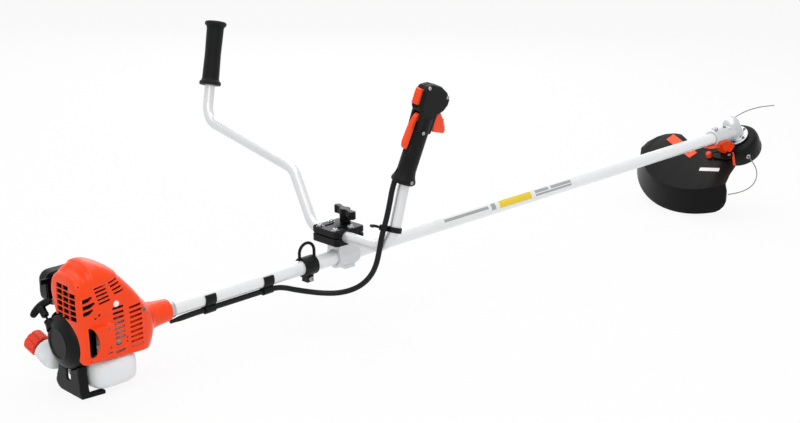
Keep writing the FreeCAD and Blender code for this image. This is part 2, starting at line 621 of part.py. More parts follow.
def build_cylinder():
    """The finned cylinder with its piston, rod and spark plug."""
    body = doc.addObject("PartDesign::Body", "Cylinder")
    sleeve = sketch_on(body, "XY_Plane", "cylinder_foot_z")
    circle(sleeve, "-cylinder_x", "0", "sleeve_radius")
    core = bind(body.newObject("PartDesign::Pad", "Sleeve"), Length="cylinder_top_z - cylinder_foot_z")
    core.Profile = sleeve
    fin = sketch_on(body, "XY_Plane", "first_fin_z")
    circle(fin, "-cylinder_x", "0", "fin_radius")
    plate = bind(body.newObject("PartDesign::Pad", "Fin"), Length="fin_thick")
    plate.Profile = fin
    doc.recompute()
    fins = body.newObject("PartDesign::LinearPattern", "Fins")
    fins.Originals = [plate]
    fins.Direction = (fin, ["N_Axis"])
    bind(fins, Length="fin_pitch * (fin_count - 1)", Occurrences="fin_count")
    body.Tip = fins
    bore = rod("bore_radius", "bore_top_z - cylinder_foot_z", ("-cylinder_x", "0", "cylinder_foot_z"), "z")
    thread = rod("plug_radius", "cylinder_top_z - bore_top_z", ("-cylinder_x", "0", "bore_top_z"), "z")
    port = rod("throat", "fin_radius * 2", ("-cylinder_x", "-fin_radius", "carb_z"), "y")
    node("cylinder", cut(body, bore, thread, port), SHAFT)
    piston = cut(
        rod("bore_radius - piston_gap", "piston_height", ("-cylinder_x", "0", "piston_base_z"), "z"),
        block("rod_width + part_gap * 2", "rod_half * 4", "piston_height / 2 + wrist_radius * 2",
              ("-cylinder_x - rod_width / 2 - part_gap", "-rod_half * 2", "piston_base_z")),
        rod("wrist_radius", "bore_radius * 2", ("-cylinder_x - bore_radius", "0", "wrist_z")),
    )
    node("piston", piston, SHAFT)
    link = fuse(
        rod("wrist_radius", "bore_radius * 2 - 4 * part_gap",
            ("-cylinder_x - bore_radius + 2 * part_gap", "0", "wrist_z")),
        block("rod_width", "rod_half * 2", "wrist_z - rod_end_z",
              ("-cylinder_x - rod_width / 2", "-rod_half", "rod_end_z")),
        rod("rod_half + wrist_radius / 2", "rod_width", ("-cylinder_x - rod_width / 2", "0", "wrist_z")),
    )
    node("connecting_rod", link, SHAFT)
    plug = fuse(
        rod("plug_radius", "boot_base_z - bore_top_z", ("-cylinder_x", "0", "bore_top_z"), "z"),
        rod("plug_hex", "plug_hex", ("-cylinder_x", "0", "cylinder_top_z"), "z"),
        rod("boot_radius", "boot_height", ("-cylinder_x", "0", "boot_base_z"), "z"),
    )
    node("spark_plug", plug, SHAFT)


def build_breathing():
    """Muffler, carburettor, purge bulb, choke lever and air cleaner."""
    muffler = rounded(
        block("muffler_length", "muffler_depth", "muffler_height", ("-muffler_x", "-muffler_y", "muffler_z")),
        "blade_width", lambda edge: abs(edge.tangentAt(edge.FirstParameter).y) > 0.9,
    )
    port = rod("throat", "muffler_y - muffler_depth - fin_radius",
               ("-cylinder_x", "-muffler_y + muffler_depth", "carb_z"), "y")
    node("muffler", fuse(muffler, port), SHAFT)
    carb_x = "-cylinder_x - carb_half"
    carb_y = "insulator_y + insulator_depth"
    body = fuse(
        block("carb_half * 2", "insulator_depth", "carb_half * 2",
              (carb_x, "insulator_y", "carb_z - carb_half")),
        block("carb_half * 1.6", "carb_depth", "carb_half * 1.6",
              ("-cylinder_x - carb_half * 0.8", carb_y, "carb_z - carb_half * 0.8")),
        rod("carb_depth / 2", "carb_half * 2.4",
            ("-cylinder_x", carb_y + " + carb_depth / 2", "carb_z - carb_half * 1.2"), "z"),
    )
    intake = rod("throat", "insulator_depth + carb_depth", ("-cylinder_x", "insulator_y", "carb_z"), "y")
    node("carburettor", cut(body, intake), SHAFT)
    base_y = carb_y + " + carb_depth"
    rim = "(purge_radius + purge_rim)"
    shelf = block("purge_x - purge_back", f"{base_y} - purge_y + {rim}", f"{rim} * 2",
                  ("-purge_x", f"purge_y - {rim}", f"purge_z - {rim}"))
    well = rod(
        "purge_radius + running_gap", "purge_travel + purge_rim + part_gap",
        ("-purge_x", "purge_y", "purge_z"),
    )
    plate = block("cleaner_length", "base_depth", "cleaner_height", ("-cleaner_back", base_y, "cleaner_z"))
    plate = rounded(plate, "cleaner_round", lambda edge: abs(edge.tangentAt(edge.FirstParameter).y) > 0.9)
    post = rod("stud_radius", "base_depth + cleaner_depth + knob_depth / 2",
               ("-cleaner_back + cleaner_length / 2", base_y, "cleaner_z + cleaner_height / 2"), "y")
    lever_y = base_y + " - choke_thick - part_gap"
    pin = rod("choke_pin", "choke_thick + part_gap", ("-choke_x", lever_y, "choke_z"), "y")
    opening = rod("throat", "base_depth", ("-cylinder_x", base_y, "carb_z"), "y")
    node("air_cleaner_base", cut(fuse(plate, post, shelf, pin), opening, well), SHAFT)
    cover_y = base_y + " + base_depth"
    shell = block(
        "cleaner_length", "cleaner_depth", "cleaner_height", ("-cleaner_back", cover_y, "cleaner_z"),
    )
    shell = rounded(shell, "cleaner_round", lambda edge: abs(edge.tangentAt(edge.FirstParameter).y) > 0.9)
    hollow = block("cleaner_length - cleaner_wall * 2", "cleaner_depth - cleaner_wall",
                   "cleaner_height - cleaner_wall * 2",
                   ("-cleaner_back + cleaner_wall", cover_y, "cleaner_z + cleaner_wall"))
    hollow = rounded(hollow, "blade_width", lambda edge: abs(edge.tangentAt(edge.FirstParameter).y) > 0.9)
    stud_hole = rod("stud_radius + part_gap", "cleaner_depth",
                    ("-cleaner_back + cleaner_length / 2", cover_y, "cleaner_z + cleaner_height / 2"), "y")
    node("air_cleaner_cover", cut(shell, hollow, stud_hole), SHAFT)
    knob_y = cover_y + " + cleaner_depth + part_gap"
    centre = ("-cleaner_back + cleaner_length / 2", knob_y, "cleaner_z + cleaner_height / 2")
    blade = block("knob_radius * 2.6", "knob_depth", "stud_radius * 2",
                  ("-cleaner_back + cleaner_length / 2 - knob_radius * 1.3", knob_y,
                   "cleaner_z + cleaner_height / 2 - stud_radius"))
    thread = rod("stud_radius + running_gap", "knob_depth / 2 + part_gap", centre, "y")
    node("air_cleaner_knob", cut(fuse(rod("knob_radius", "knob_depth", centre, "y"), blade), thread), SHAFT)
    lever = fuse(
        block("choke_length", "choke_thick", "choke_thick * 2.5",
              ("-choke_x - choke_length", lever_y, "choke_z - choke_thick * 1.25")),
        rod("choke_thick * 1.6", "choke_thick", ("-choke_x", lever_y, "choke_z"), "y"),
    )
    hole = rod("choke_pin + running_gap", "choke_thick + part_gap", ("-choke_x", lever_y, "choke_z"), "y")
    node("choke_lever", cut(lever, hole), SHAFT)
    dome = common(
        ball("purge_radius", ("-purge_x", "purge_y", "purge_z")),
        block("purge_radius * 2", "purge_radius * 4", "purge_radius * 4",
              ("-purge_x - purge_radius * 2", "purge_y - purge_radius * 2", "purge_z - purge_radius * 2")),
    )
    bulb = fuse(dome, rod("purge_radius - part_gap", "purge_rim", ("-purge_x", "purge_y", "purge_z")))
    node("purge_bulb", bulb, SHAFT)


def build_starter():
    """Starter housing, rope pulley, rope and T-handle."""
    inner = "housing_radius - housing_wall"
    profile = [
        ("-housing_back", "0"), ("-housing_back", "badge_radius"),
        ("-housing_back + badge_depth", "badge_radius + badge_depth"),
        ("-housing_shoulder", "housing_radius"),
        ("-crankcase_back", "housing_radius"), ("-crankcase_back", inner),
        ("-housing_shoulder + housing_wall", inner),
        ("-housing_back + badge_depth + housing_wall", "badge_radius"),
        ("-housing_back + badge_depth + housing_wall", "housing_post"), ("-post_front", "housing_post"),
        ("-post_front", "0"),
    ]
    guide = rod("guide_radius", "guide_length + guide_y")
    guide.Placement = ROPE * Placement(Vector(0, 0, -mm("guide_y")), Rotation())
    guide_bore = rod("rope_radius + part_gap", "guide_length + guide_y * 3")
    guide_bore.Placement = ROPE * Placement(Vector(0, 0, -mm("guide_y") * 1.5), Rotation())
    clear = rod(inner, "housing_shoulder - housing_wall - crankcase_back",
                ("-housing_shoulder + housing_wall", "0", "0"))
    pulley_room = rod(
        "pulley_radius + face_gap", "pulley_width + face_gap * 2", ("-pulley_back - face_gap", "0", "0"),
    )
    node("starter_housing", cut(fuse(turned(profile), cut(guide, clear, pulley_room)), guide_bore), SHAFT)
    groove = "pulley_radius - rope_groove"
    pulley = [
        ("-pulley_back", "housing_post + running_gap"), ("-pulley_back", "pulley_radius"),
        ("-pulley_back + pulley_width / 4", "pulley_radius"), ("-pulley_back + pulley_width / 4", groove),
        ("-pulley_back + pulley_width * 3 / 4", groove),
        ("-pulley_back + pulley_width * 3 / 4", "pulley_radius"),
        ("-pulley_back + pulley_width", "pulley_radius"),
        ("-pulley_back + pulley_width", "housing_post + running_gap"),
    ]
    node("starter_pulley", turned(pulley), SHAFT)
    handle_k = "guide_length + rope_show"
    rope = rod("rope_radius", "rope_show + part_gap * 2", ("0", "0", "guide_length - part_gap * 2"), "z")
    node("starter_rope", group(rope), ROPE)
    stem = cone("stem_radius * 0.8", "stem_radius", "stem_length", ("0", "0", handle_k))
    tee_turn = Rotation(Vector(0, 0, 1), mm("tee_turn")) * ALONG["x"]
    tee_at = Vector(-mm("tee_length") / 2, 0, mm("guide_length") + mm("rope_show") + mm("stem_length"))
    tee = rod("tee_radius", "tee_length")
    tee.Placement = Placement(Rotation(Vector(0, 0, 1), mm("tee_turn")).multVec(tee_at), tee_turn)
    node("starter_handle", fuse(stem, tee), ROPE)


def build_tank():
    """The saddle tank with its filler neck, cap and fuel lines."""
    back = "-crankcase_back + face_gap"
    length = "crankcase_back - case_back_x - 2 * face_gap"

    def hull(inset):
        main = block(f"{length} - 2 * {inset}", f"tank_right + tank_left - 2 * {inset}",
                     f"tank_bottom - tank_top - 2 * {inset}",
                     (f"{back} + {inset}", f"-tank_right + {inset}", f"-tank_bottom + {inset}"))
        side = block(f"lobe_length - 2 * {inset}", f"lobe_width - 2 * {inset}", f"lobe_height - 2 * {inset}",
                     (f"-lobe_back + {inset}", f"lobe_y + {inset}", f"-lobe_bottom + {inset}"))
        radius = "tank_round" if inset == "0" else "blade_width"
        return fuse(rounded(main, radius, every_edge), rounded(side, radius, every_edge))

    neck = rod("tank_neck", "tank_neck_length + part_gap")
    neck.Placement = CAP * Placement(Vector(0, 0, -mm("tank_neck_length")), Rotation())
    bore = rod("neck_bore", "tank_neck_length + part_gap * 2")
    bore.Placement = CAP * Placement(Vector(0, 0, -mm("tank_neck_length")), Rotation())
    saddle = rod("crankcase_radius + saddle_gap", "crankcase_back * 2", ("-crankcase_back * 2", "0", "0"))
    inner_saddle = rod("crankcase_radius + saddle_gap + tank_wall", "crankcase_back * 2",
                       ("-crankcase_back * 2", "0", "0"))
    tank = cut(cut(fuse(hull("0"), neck), saddle), cut(hull("tank_wall"), inner_saddle), bore)
    node("fuel_tank", tank, SHAFT)
    cap = fuse(
        rod("cap_radius * 0.85", "cap_height", ("0", "0", "part_gap"), "z"),
        rod("neck_bore - part_gap", "cap_height", ("0", "0", "-cap_height / 2"), "z"),
        *[
            put(rod("cap_radius * 0.34", "cap_height - 2 * part_gap", along="z"),
                (f"cap_radius * 0.66 * cos({i} * 360 / cap_lobes)",
                 f"cap_radius * 0.66 * sin({i} * 360 / cap_lobes)", "part_gap"))
            for i in range(int(mm("cap_lobes")))
        ],
    )
    node("fuel_cap", cap, CAP)
    low_x = -mm("cylinder_x") - mm("carb_half") / 2
    lines = []
    for offset in (0, mm("carb_half")):
        top = Vector(low_x + offset, mm("insulator_y") + mm("insulator_depth") + mm("carb_depth") / 2,
                     mm("carb_z") - mm("carb_half") * 1.2 - mm("line_radius") / 2)
        foot = Vector(low_x + offset, mm("tank_left") - mm("tank_round"), mm("line_wall") - mm("tank_top"))
        bow = Vector(low_x + offset, foot.y + mm("tank_round"), (top.z + foot.z) / 2)
        path = bent_path([top, bow, foot], cord_radii([top, bow, foot]))
        lines.append(solid(pipe(path, mm("line_radius"))))
    node("fuel_lines", group(*lines), SHAFT)


def cover_shape(inset):
    """The solid that the cover's outer or inner skin encloses; the inset is an expression."""
    open_end = "0" if inset == "0" else "cover_tip"
    side = [
        (f"-cover_back + {inset}", f"-cover_low - {open_end}"),
        (f"-cover_back + {inset}", f"cover_shoulder_z - {inset} / 2"),
        (f"-cover_top_x + {inset} / 2", f"cover_top_z - {inset}"),
        ("-cover_crest_x", f"cover_top_z - {inset}"),
        (f"-cover_slope_x - {inset} / 2", f"cover_slope_z - {inset}"),
        (f"-cover_bend_x - {inset} / 2", f"cover_bend_z - {inset}"),
        (f"-cover_front - {inset}", f"cover_nose_z - {inset} / 2"),
        (f"-cover_front - {inset}", f"-cover_tip - {open_end}"),
    ]
    body = padded(side, f"cover_right + cover_crown - 2 * {inset}", offset=f"-cover_crown + {inset}")
    doc.recompute()
    shape = body.Tip
    for rim, radius, floor in (
        (-mm("cover_right") + number(inset), "cover_round", 0),
        (mm("cover_crown") - number(inset), "cover_round_left", mm("cover_nose_z")),
    ):
        edges = [
            f"Edge{i}" for i, edge in enumerate(shape.Shape.Edges, start=1)
            if abs(edge.BoundBox.YMin - rim) < 0.01 and abs(edge.BoundBox.YMax - rim) < 0.01
            and edge.BoundBox.ZMax > floor + 1 and (floor == 0 or edge.BoundBox.ZMin > floor - 5)
        ]
        fillet = bind(body.newObject("PartDesign::Fillet", "Round"), Radius=f"{radius} - {inset}")
        fillet.Base = (shape, edges)
        doc.recompute()
        shape = fillet
    return body


def build_cover():
    """The vented engine cover over the right side, the top and the back of the engine."""
    beyond = block(
        "cover_back", "cover_right", "cover_back", ("-cover_back * 1.2", "cover_left", "-cover_back / 2"),
    )
    body = cut(cover_shape("0"), cover_shape("cover_wall"), beyond)
    cuts = [
        rod("housing_radius + part_gap", "cover_wall * 6", ("-cover_back - cover_wall", "0", "0")),
        rod("case_radius + part_gap", "case_back_x", ("-case_back_x - face_gap", "0", "0")),
    ]
    wall = ("cover_wall * 2", "-cover_right - cover_wall / 2")
    for i in range(int(mm("slot_count"))):
        for column in (0, 1):
            start = f"-slot_front_x - slot_width - {column} * (slot_width + slot_gap)"
            height = f"-slot_base_z + {column} * slot_rise + {i} * slot_pitch"
            cuts.append(block("slot_width", wall[0], "slot_height", (start, wall[1], height)))
    for i in range(int(mm("gill_count"))):
        cuts.append(block("gill_width", "cover_wall * 5", "slot_height",
                          ("-gill_x - gill_width", wall[1], f"gill_z + {i} * gill_pitch")))
    cuts.append(rod("peep_radius", "cover_wall * 2", ("-peep_x", wall[1], "peep_z"), "y"))
    cuts.append(padded(traced("cover_window"), "cover_wall * 5", offset="cover_right - cover_wall * 4"))
    for i in range(int(mm("vent_count"))):
        for step in ("0", "vent_step"):
            cuts.append(block("vent_width", "cover_wall * 7", "slot_height",
                              (f"-vent_x - vent_width - {step}", wall[1], f"vent_z + {i} * vent_pitch")))
    for row_index in range(int(mm("grid_rows"))):
        for column in range(int(mm("grid_columns"))):
            cuts.append(block("cover_wall * 2", "grid_width", "grid_height",
                              ("-cover_back - cover_wall / 2", f"-grid_y + {column} * grid_step",
                               f"grid_z + {row_index} * grid_pitch")))
    node("engine_cover", cut(body, *cuts), SHAFT)


def build_stand():
    """The engine stand: a leg with a hollow back that flares to a foot with two prongs."""
    leg = padded(traced("stand_leg"), "stand_depth", "YZ_Plane", "-stand_back")
    hollow = padded(traced("stand_hollow"), "stand_depth", "YZ_Plane", "-stand_back + stand_wall")
    prongs = [
        block("stand_back - prong_reach", "prong_width", "foot_thick * 2",
              ("-stand_back", low_edge, "-foot_drop - foot_thick"))
        for low_edge in ("-prong_right", "prong_left")
    ]
    window = block("stand_depth * 2", "window_width", "window_height",
                   ("-stand_back - stand_depth / 2", "-window_width / 2", "-window_low"))
    seat = rod("housing_radius", "stand_depth * 3", ("-stand_back - stand_depth", "0", "0"))
    size = mm("stand_back")
    below = block("stand_back", "stand_back", "stand_depth * 2")
    below.Placement = FLOOR * Placement(Vector(-size / 2, -size / 2, -mm("stand_depth") * 2), Rotation())
    node("engine_stand", cut(fuse(cut(leg, hollow), *prongs), seat, window, below), SHAFT)


def build_tube_fittings():
    """Cable clips, the harness hanger and the cast bracket under the handle clamp."""
    clips = []
    for start in ("first_clip_x", "second_clip_x"):
        cradle = (start, "cable_y", "cable_z")
        band = fuse(
            rod("clip_radius", "clip_width", (start, "0", "0")),
            rod("conduit_radius + clip_radius - tube_radius", "clip_width", cradle),
        )
        clips.append(cut(
            band,
            rod("tube_radius", "clip_width", (start, "0", "0")),
            rod("conduit_radius + part_gap", "clip_width", cradle),
            block("clip_width", "clip_mouth", "clip_radius", (start, "-clip_mouth / 2", "clip_lip")),
        ))
    node("cable_clips", group(*clips), SHAFT)
    arch = doc.addObject("Part::Torus", "Loop")
    bind(arch, Radius1="loop_radius - loop_rod", Radius2="loop_rod")
    put(arch, ("loop_x", "0", "loop_z"), ALONG["y"])
    legs = [
        rod("loop_rod", "loop_z", (f"loop_x + {side} * (loop_radius - loop_rod)", "0", "0"), "z")
        for side in ("-1", "1")
    ]
    above = block("loop_radius * 3", "loop_rod * 4", "loop_radius * 2",
                  ("loop_x - loop_radius * 1.5", "-loop_rod * 2", "loop_z"))
    lug = block("lug_width", "lug_half * 2", "lug_drop", ("lug_x", "-lug_half", "-lug_drop"))
    band = rod("hanger_radius", "hanger_width", ("hanger_x", "0", "0"))
    bolt = rod("bolt_radius", "lug_half * 2", HANGER_BOLT, "y")
    bore = rod("tube_radius", "loop_radius * 3", ("loop_x - loop_radius * 1.5", "0", "0"))
    hanger = cut(fuse(common(arch, above), *legs, band, lug), bore, bolt)
    node("harness_hanger", hanger, SHAFT)
    bracket = fuse(
        rod("bracket_radius", "bracket_length", ("bracket_x", "0", "0")),
        block("bracket_length", "bracket_half * 2", "block_low", ("bracket_x", "-bracket_half", "0")),
        block("bracket_length / 2", "bracket_half", "tube_radius * 1.95",
              ("bracket_x + bracket_length * 0.42", "-bracket_half / 2", "-tube_radius * 1.95")),
    )
    node("handle_bracket", cut(bracket, rod("tube_radius", "bracket_length", ("bracket_x", "0", "0"))), SHAFT)


def build_clamp():
    """Two clamp blocks that hold the handlebar, their bolts and the knob."""
    def upright(edge):
        return abs(edge.tangentAt(edge.FirstParameter).z) > 0.9

    channel = rod(
        "bar_radius + running_gap", "block_width * 2",
        ("bar_x", "-block_right - block_width / 2", "bar_z"), "y",
    )
    spots = []
    for x, side in (
        ("block_x + bolt_inset", "bolt_side"),
        ("bar_x + bar_radius + front_bolt_gap", "front_bolt_side"),
    ):
        spots += [(x, f"-block_right + {side}"), (x, f"-block_right + block_width - {side}")]
    height = "block_top - block_low"
    shanks = [rod("bolt_radius", height, (x, y, "block_low"), "z") for x, y in spots]
    post = rod("knob_stud", height, ("knob_x", "knob_y", "block_low"), "z")
    for name, low, thick in (
        ("clamp_lower", "block_low", "bar_z - split_gap / 2 - block_low"),
        ("clamp_upper", "bar_z + split_gap / 2", "block_top - bar_z - split_gap / 2"),
    ):
        half = rounded(block("block_length", "block_width", thick, ("block_x", "-block_right", low)),
                       "block_round", upright)
        node(name, cut(half, channel, *shanks, post), SHAFT)
    bolts = [
        fuse(rod("bolt_radius", height, (x, y, "block_low"), "z"),
             rod("head_radius", "head_depth", (x, y, "block_top"), "z"))
        for x, y in spots
    ]
    head_at = (HANGER_BOLT[0], "-lug_half - head_depth", HANGER_BOLT[2])
    hanger_bolt = fuse(
        rod("bolt_radius", "lug_half * 2", HANGER_BOLT, "y"), rod("head_radius", "head_depth", head_at, "y")
    )
    stud = rod("knob_stud", height + " + wing_height / 2", ("knob_x", "knob_y", "block_low"), "z")
    node("clamp_bolts", group(*bolts, hanger_bolt, stud), SHAFT)
    seat = ("knob_x", "knob_y", "block_top + part_gap")
    rise = "block_top + part_gap + wing_rise"
    reach = "(wing_reach - wing_thick / 2)"
    wings = [
        rod("wing_thick / 2", "wing_height - wing_rise",
            (f"knob_x + {side} * {reach} * cos(wing_turn)",
             f"knob_y - {side} * {reach} * sin(wing_turn)", rise), "z")
        for side in ("-1", "1")
    ]
    web = block("wing_reach * 2 - wing_thick", "wing_thick * 0.7", "wing_height - wing_rise")
    centre = Vector(mm("knob_x"), mm("knob_y"), number(rise))
    corner = Vector(-number(reach), -mm("wing_thick") * 0.35, 0)
    web.Placement = Placement(
        centre, Rotation(Vector(0, 0, 1), -mm("wing_turn"))) * Placement(corner, Rotation(),
    )
    thread = rod("knob_stud + running_gap", "wing_height / 2", seat, "z")
    node("wing_knob", cut(fuse(rod("wing_hub", "wing_height", seat, "z"), web, *wings), thread), SHAFT)


def build_handlebar():
    """The bent bar, its plain grip and the throttle grip with its controls."""
    top = Vector(0, mm("left_top_y"), mm("left_top_z"))
    right_end = GRIP.multVec(Vector(0, 0, mm("right_reach") - mm("cuff_base") * 2))
    right_end = BAR.inverse().multVec(right_end)
    corners = [
        top,
        Vector(0, mm("left_low_y"), mm("left_low_z")),
        Vector(0, mm("left_bend_y"), mm("left_bend_z")),
        Vector(0, mm("left_foot_y"), 0),
        Vector(0, mm("right_foot_y"), 0),
        Vector(0, mm("right_foot_y"), mm("right_bend_z")),
        right_end,
    ]
    bend = mm("bend_radius")
    path = bent_path(corners, [bend, bend, bend, bend, bend * 2])
    bar = pipe(path, mm("bar_radius")).cut(pipe(path, mm("bar_radius") - mm("bar_wall")))
    node("handlebar", solid(bar), BAR)
    flange_low = [
        ("bar_radius", "0"), ("flange_radius", "0"), ("flange_radius", "flange_width"),
        ("left_grip_radius", "flange_width * 1.6"), ("left_grip_radius * 0.94", "left_grip_length / 2"),
        ("left_grip_radius", "left_grip_length - flange_width * 1.6"),
        ("flange_radius", "left_grip_length - flange_width"), ("flange_radius", "left_grip_length"),
        ("0", "left_grip_length"), ("0", "left_grip_length - flange_width"),
        ("bar_radius", "left_grip_length - flange_width"),
    ]
    node("left_grip", turned(flange_low, "V_Axis"), LEFT_GRIP)
    handle = [
        ("0", "-cuff_base"), ("cuff_neck", "-cuff_base"), ("cuff_radius", "-cuff_base / 2"),
        ("cuff_radius", "0"),
        ("cuff_neck", "cuff_top"), ("grip_half", "cuff_top * 2"), ("grip_half", "handle_top"),
        ("0", "handle_top"),
    ]
    pivots = [("trigger_x", "trigger_z"), ("-lock_x", "lock_z")]
    for name, start, shell_y in (
        ("throttle_grip_right", "0", "-cuff_radius * 2"),
        ("throttle_grip_left", "-head_half", "0"),
    ):
        half = block("cuff_radius * 4", "cuff_radius * 2", "handle_top * 2",
                     ("-cuff_radius * 2", shell_y, "-cuff_base * 2"))
        stem = turned(handle, "V_Axis")
        stem.Placement = Placement(Vector(-mm("grip_shift"), 0, 0), Rotation())
        head = padded(traced("grip_head"), "head_half", offset=start)
        outer = -mm("head_half") if start == "0" else mm("head_half")
        doc.recompute()
        pad = head.Tip
        rim = bind(head.newObject("PartDesign::Fillet", "Rim"), Radius="head_round")
        rim.Base = (pad, [
            f"Edge{i}" for i, edge in enumerate(pad.Shape.Edges, start=1)
            if abs(edge.BoundBox.YMin - outer) < 0.01 and abs(edge.BoundBox.YMax - outer) < 0.01
            and edge.BoundBox.ZMax > mm("handle_top") + 8
        ])
        pockets = [
            rod("bar_radius", "right_reach + cuff_base", ("0", "0", "-cuff_base * 2"), "z"),
            rod("conduit_radius + part_gap", "cuff_base * 4",
                ("-cable_entry_x", "cable_entry_y", "-cuff_base * 2"), "z"),
            padded(traced("trigger_pocket"), "pocket_half * 2", offset="-pocket_half"),
            padded(traced("lock_pocket"), "pocket_half * 2", offset="-pocket_half"),
            block("switch_depth * 2", "switch_half * 2 + part_gap", "switch_height + switch_travel + 1",
                  ("-switch_back + switch_depth - part_gap - switch_depth * 2 + 1",
                   "-switch_half - part_gap / 2",
                   "switch_low - switch_travel - 0.5")),
            *[rod("pivot_radius", "head_half * 2 - 4", (x, "-head_half + 2", z), "y") for x, z in pivots],
        ]
        node(name, cut(common(fuse(stem, head), half), *pockets), GRIP)
    pins = [rod("pivot_radius", "head_half * 2 - 4", (x, "-head_half + 2", z), "y") for x, z in pivots]
    for name, half_width, centre in (
        ("trigger", "trigger_half", pivots[0]),
        ("lockout", "lock_half", pivots[1]),
    ):
        lever = padded(traced(name), f"{half_width} * 2", offset=f"-{half_width}")
        boss = rod("pivot_radius * 2", f"{half_width} * 2", (centre[0], f"-{half_width}", centre[1]), "y")
        hole = rod(
            "pivot_radius + running_gap", f"{half_width} * 2", (centre[0], f"-{half_width}", centre[1]), "y",
        )
        node("throttle_trigger" if name == "trigger" else "lockout_lever", cut(fuse(lever, boss), hole), GRIP)
    switch = block(
        "switch_depth", "switch_half * 2", "switch_height", ("-switch_back", "-switch_half", "switch_low"),
    )
    at_back = -mm("switch_back") + 1
    node("stop_switch", rounded(switch, "choke_pin", lambda edge: edge.BoundBox.XMax < at_back), GRIP)
    faces = ("-head_half", "-head_half", "-grip_half", "-cuff_radius")
    spots = [(x, face, z) for (x, z), face in zip(traced("grip_screws"), faces)]
    screws = [
        rod("screw_radius", "screw_depth + screw_sink", (x, f"{y} - screw_depth", z), "y")
        for x, y, z in spots
    ]
    seats = [rod("screw_radius", "screw_sink", spot, "y") for spot in spots]
    right_half = nodes.pop("throttle_grip_right")[0]
    node("throttle_grip_right", cut(right_half, *seats), GRIP)
    right_half.Label = "Right half before its screw seats"
    node("grip_fasteners", group(*pins, *screws), GRIP)


def bevel_gear(teeth, pitch_angle, phase):
    """A straight bevel gear about Z with its apex at the origin and its teeth on the +Z side."""
    distance = mm("cone_distance")
    module = 2 * distance * math.sin(pitch_angle) / teeth
    inner = (distance - mm("face_width")) / distance
    height = distance * math.cos(pitch_angle)
    pitch = distance * math.sin(pitch_angle)
    root = pitch - 1.15 * module * math.cos(pitch_angle)
    tip = pitch + 0.8 * module * math.cos(pitch_angle)
    tip_height = height - 0.8 * module * math.sin(pitch_angle)
    root_height = height + 1.15 * module * math.sin(pitch_angle)
    blank = Part.makeCone(root * inner, root, root_height * (1 - inner), Vector(0, 0, root_height * inner))
    half_root = 1.05 * module
    half_tip = 0.30 * module
    shapes = [blank]
    for i in range(teeth):
        turn = Rotation(Vector(0, 0, 1), phase + i * 360 / teeth)
        wires = []
        for scale in (1.0, inner):
            corners = [
                Vector(root - 0.3, -half_root, root_height + 0.1), Vector(tip, -half_tip, tip_height),
                Vector(tip, half_tip, tip_height), Vector(root - 0.3, half_root, root_height + 0.1),
            ]
            points = [turn.multVec(corner) * scale for corner in corners]
            wires.append(Part.makePolygon(points + points[:1]))
        shapes.append(Part.makeLoft(wires, True, True))
    return shapes[0].fuse(shapes[1:]).removeSplitter()


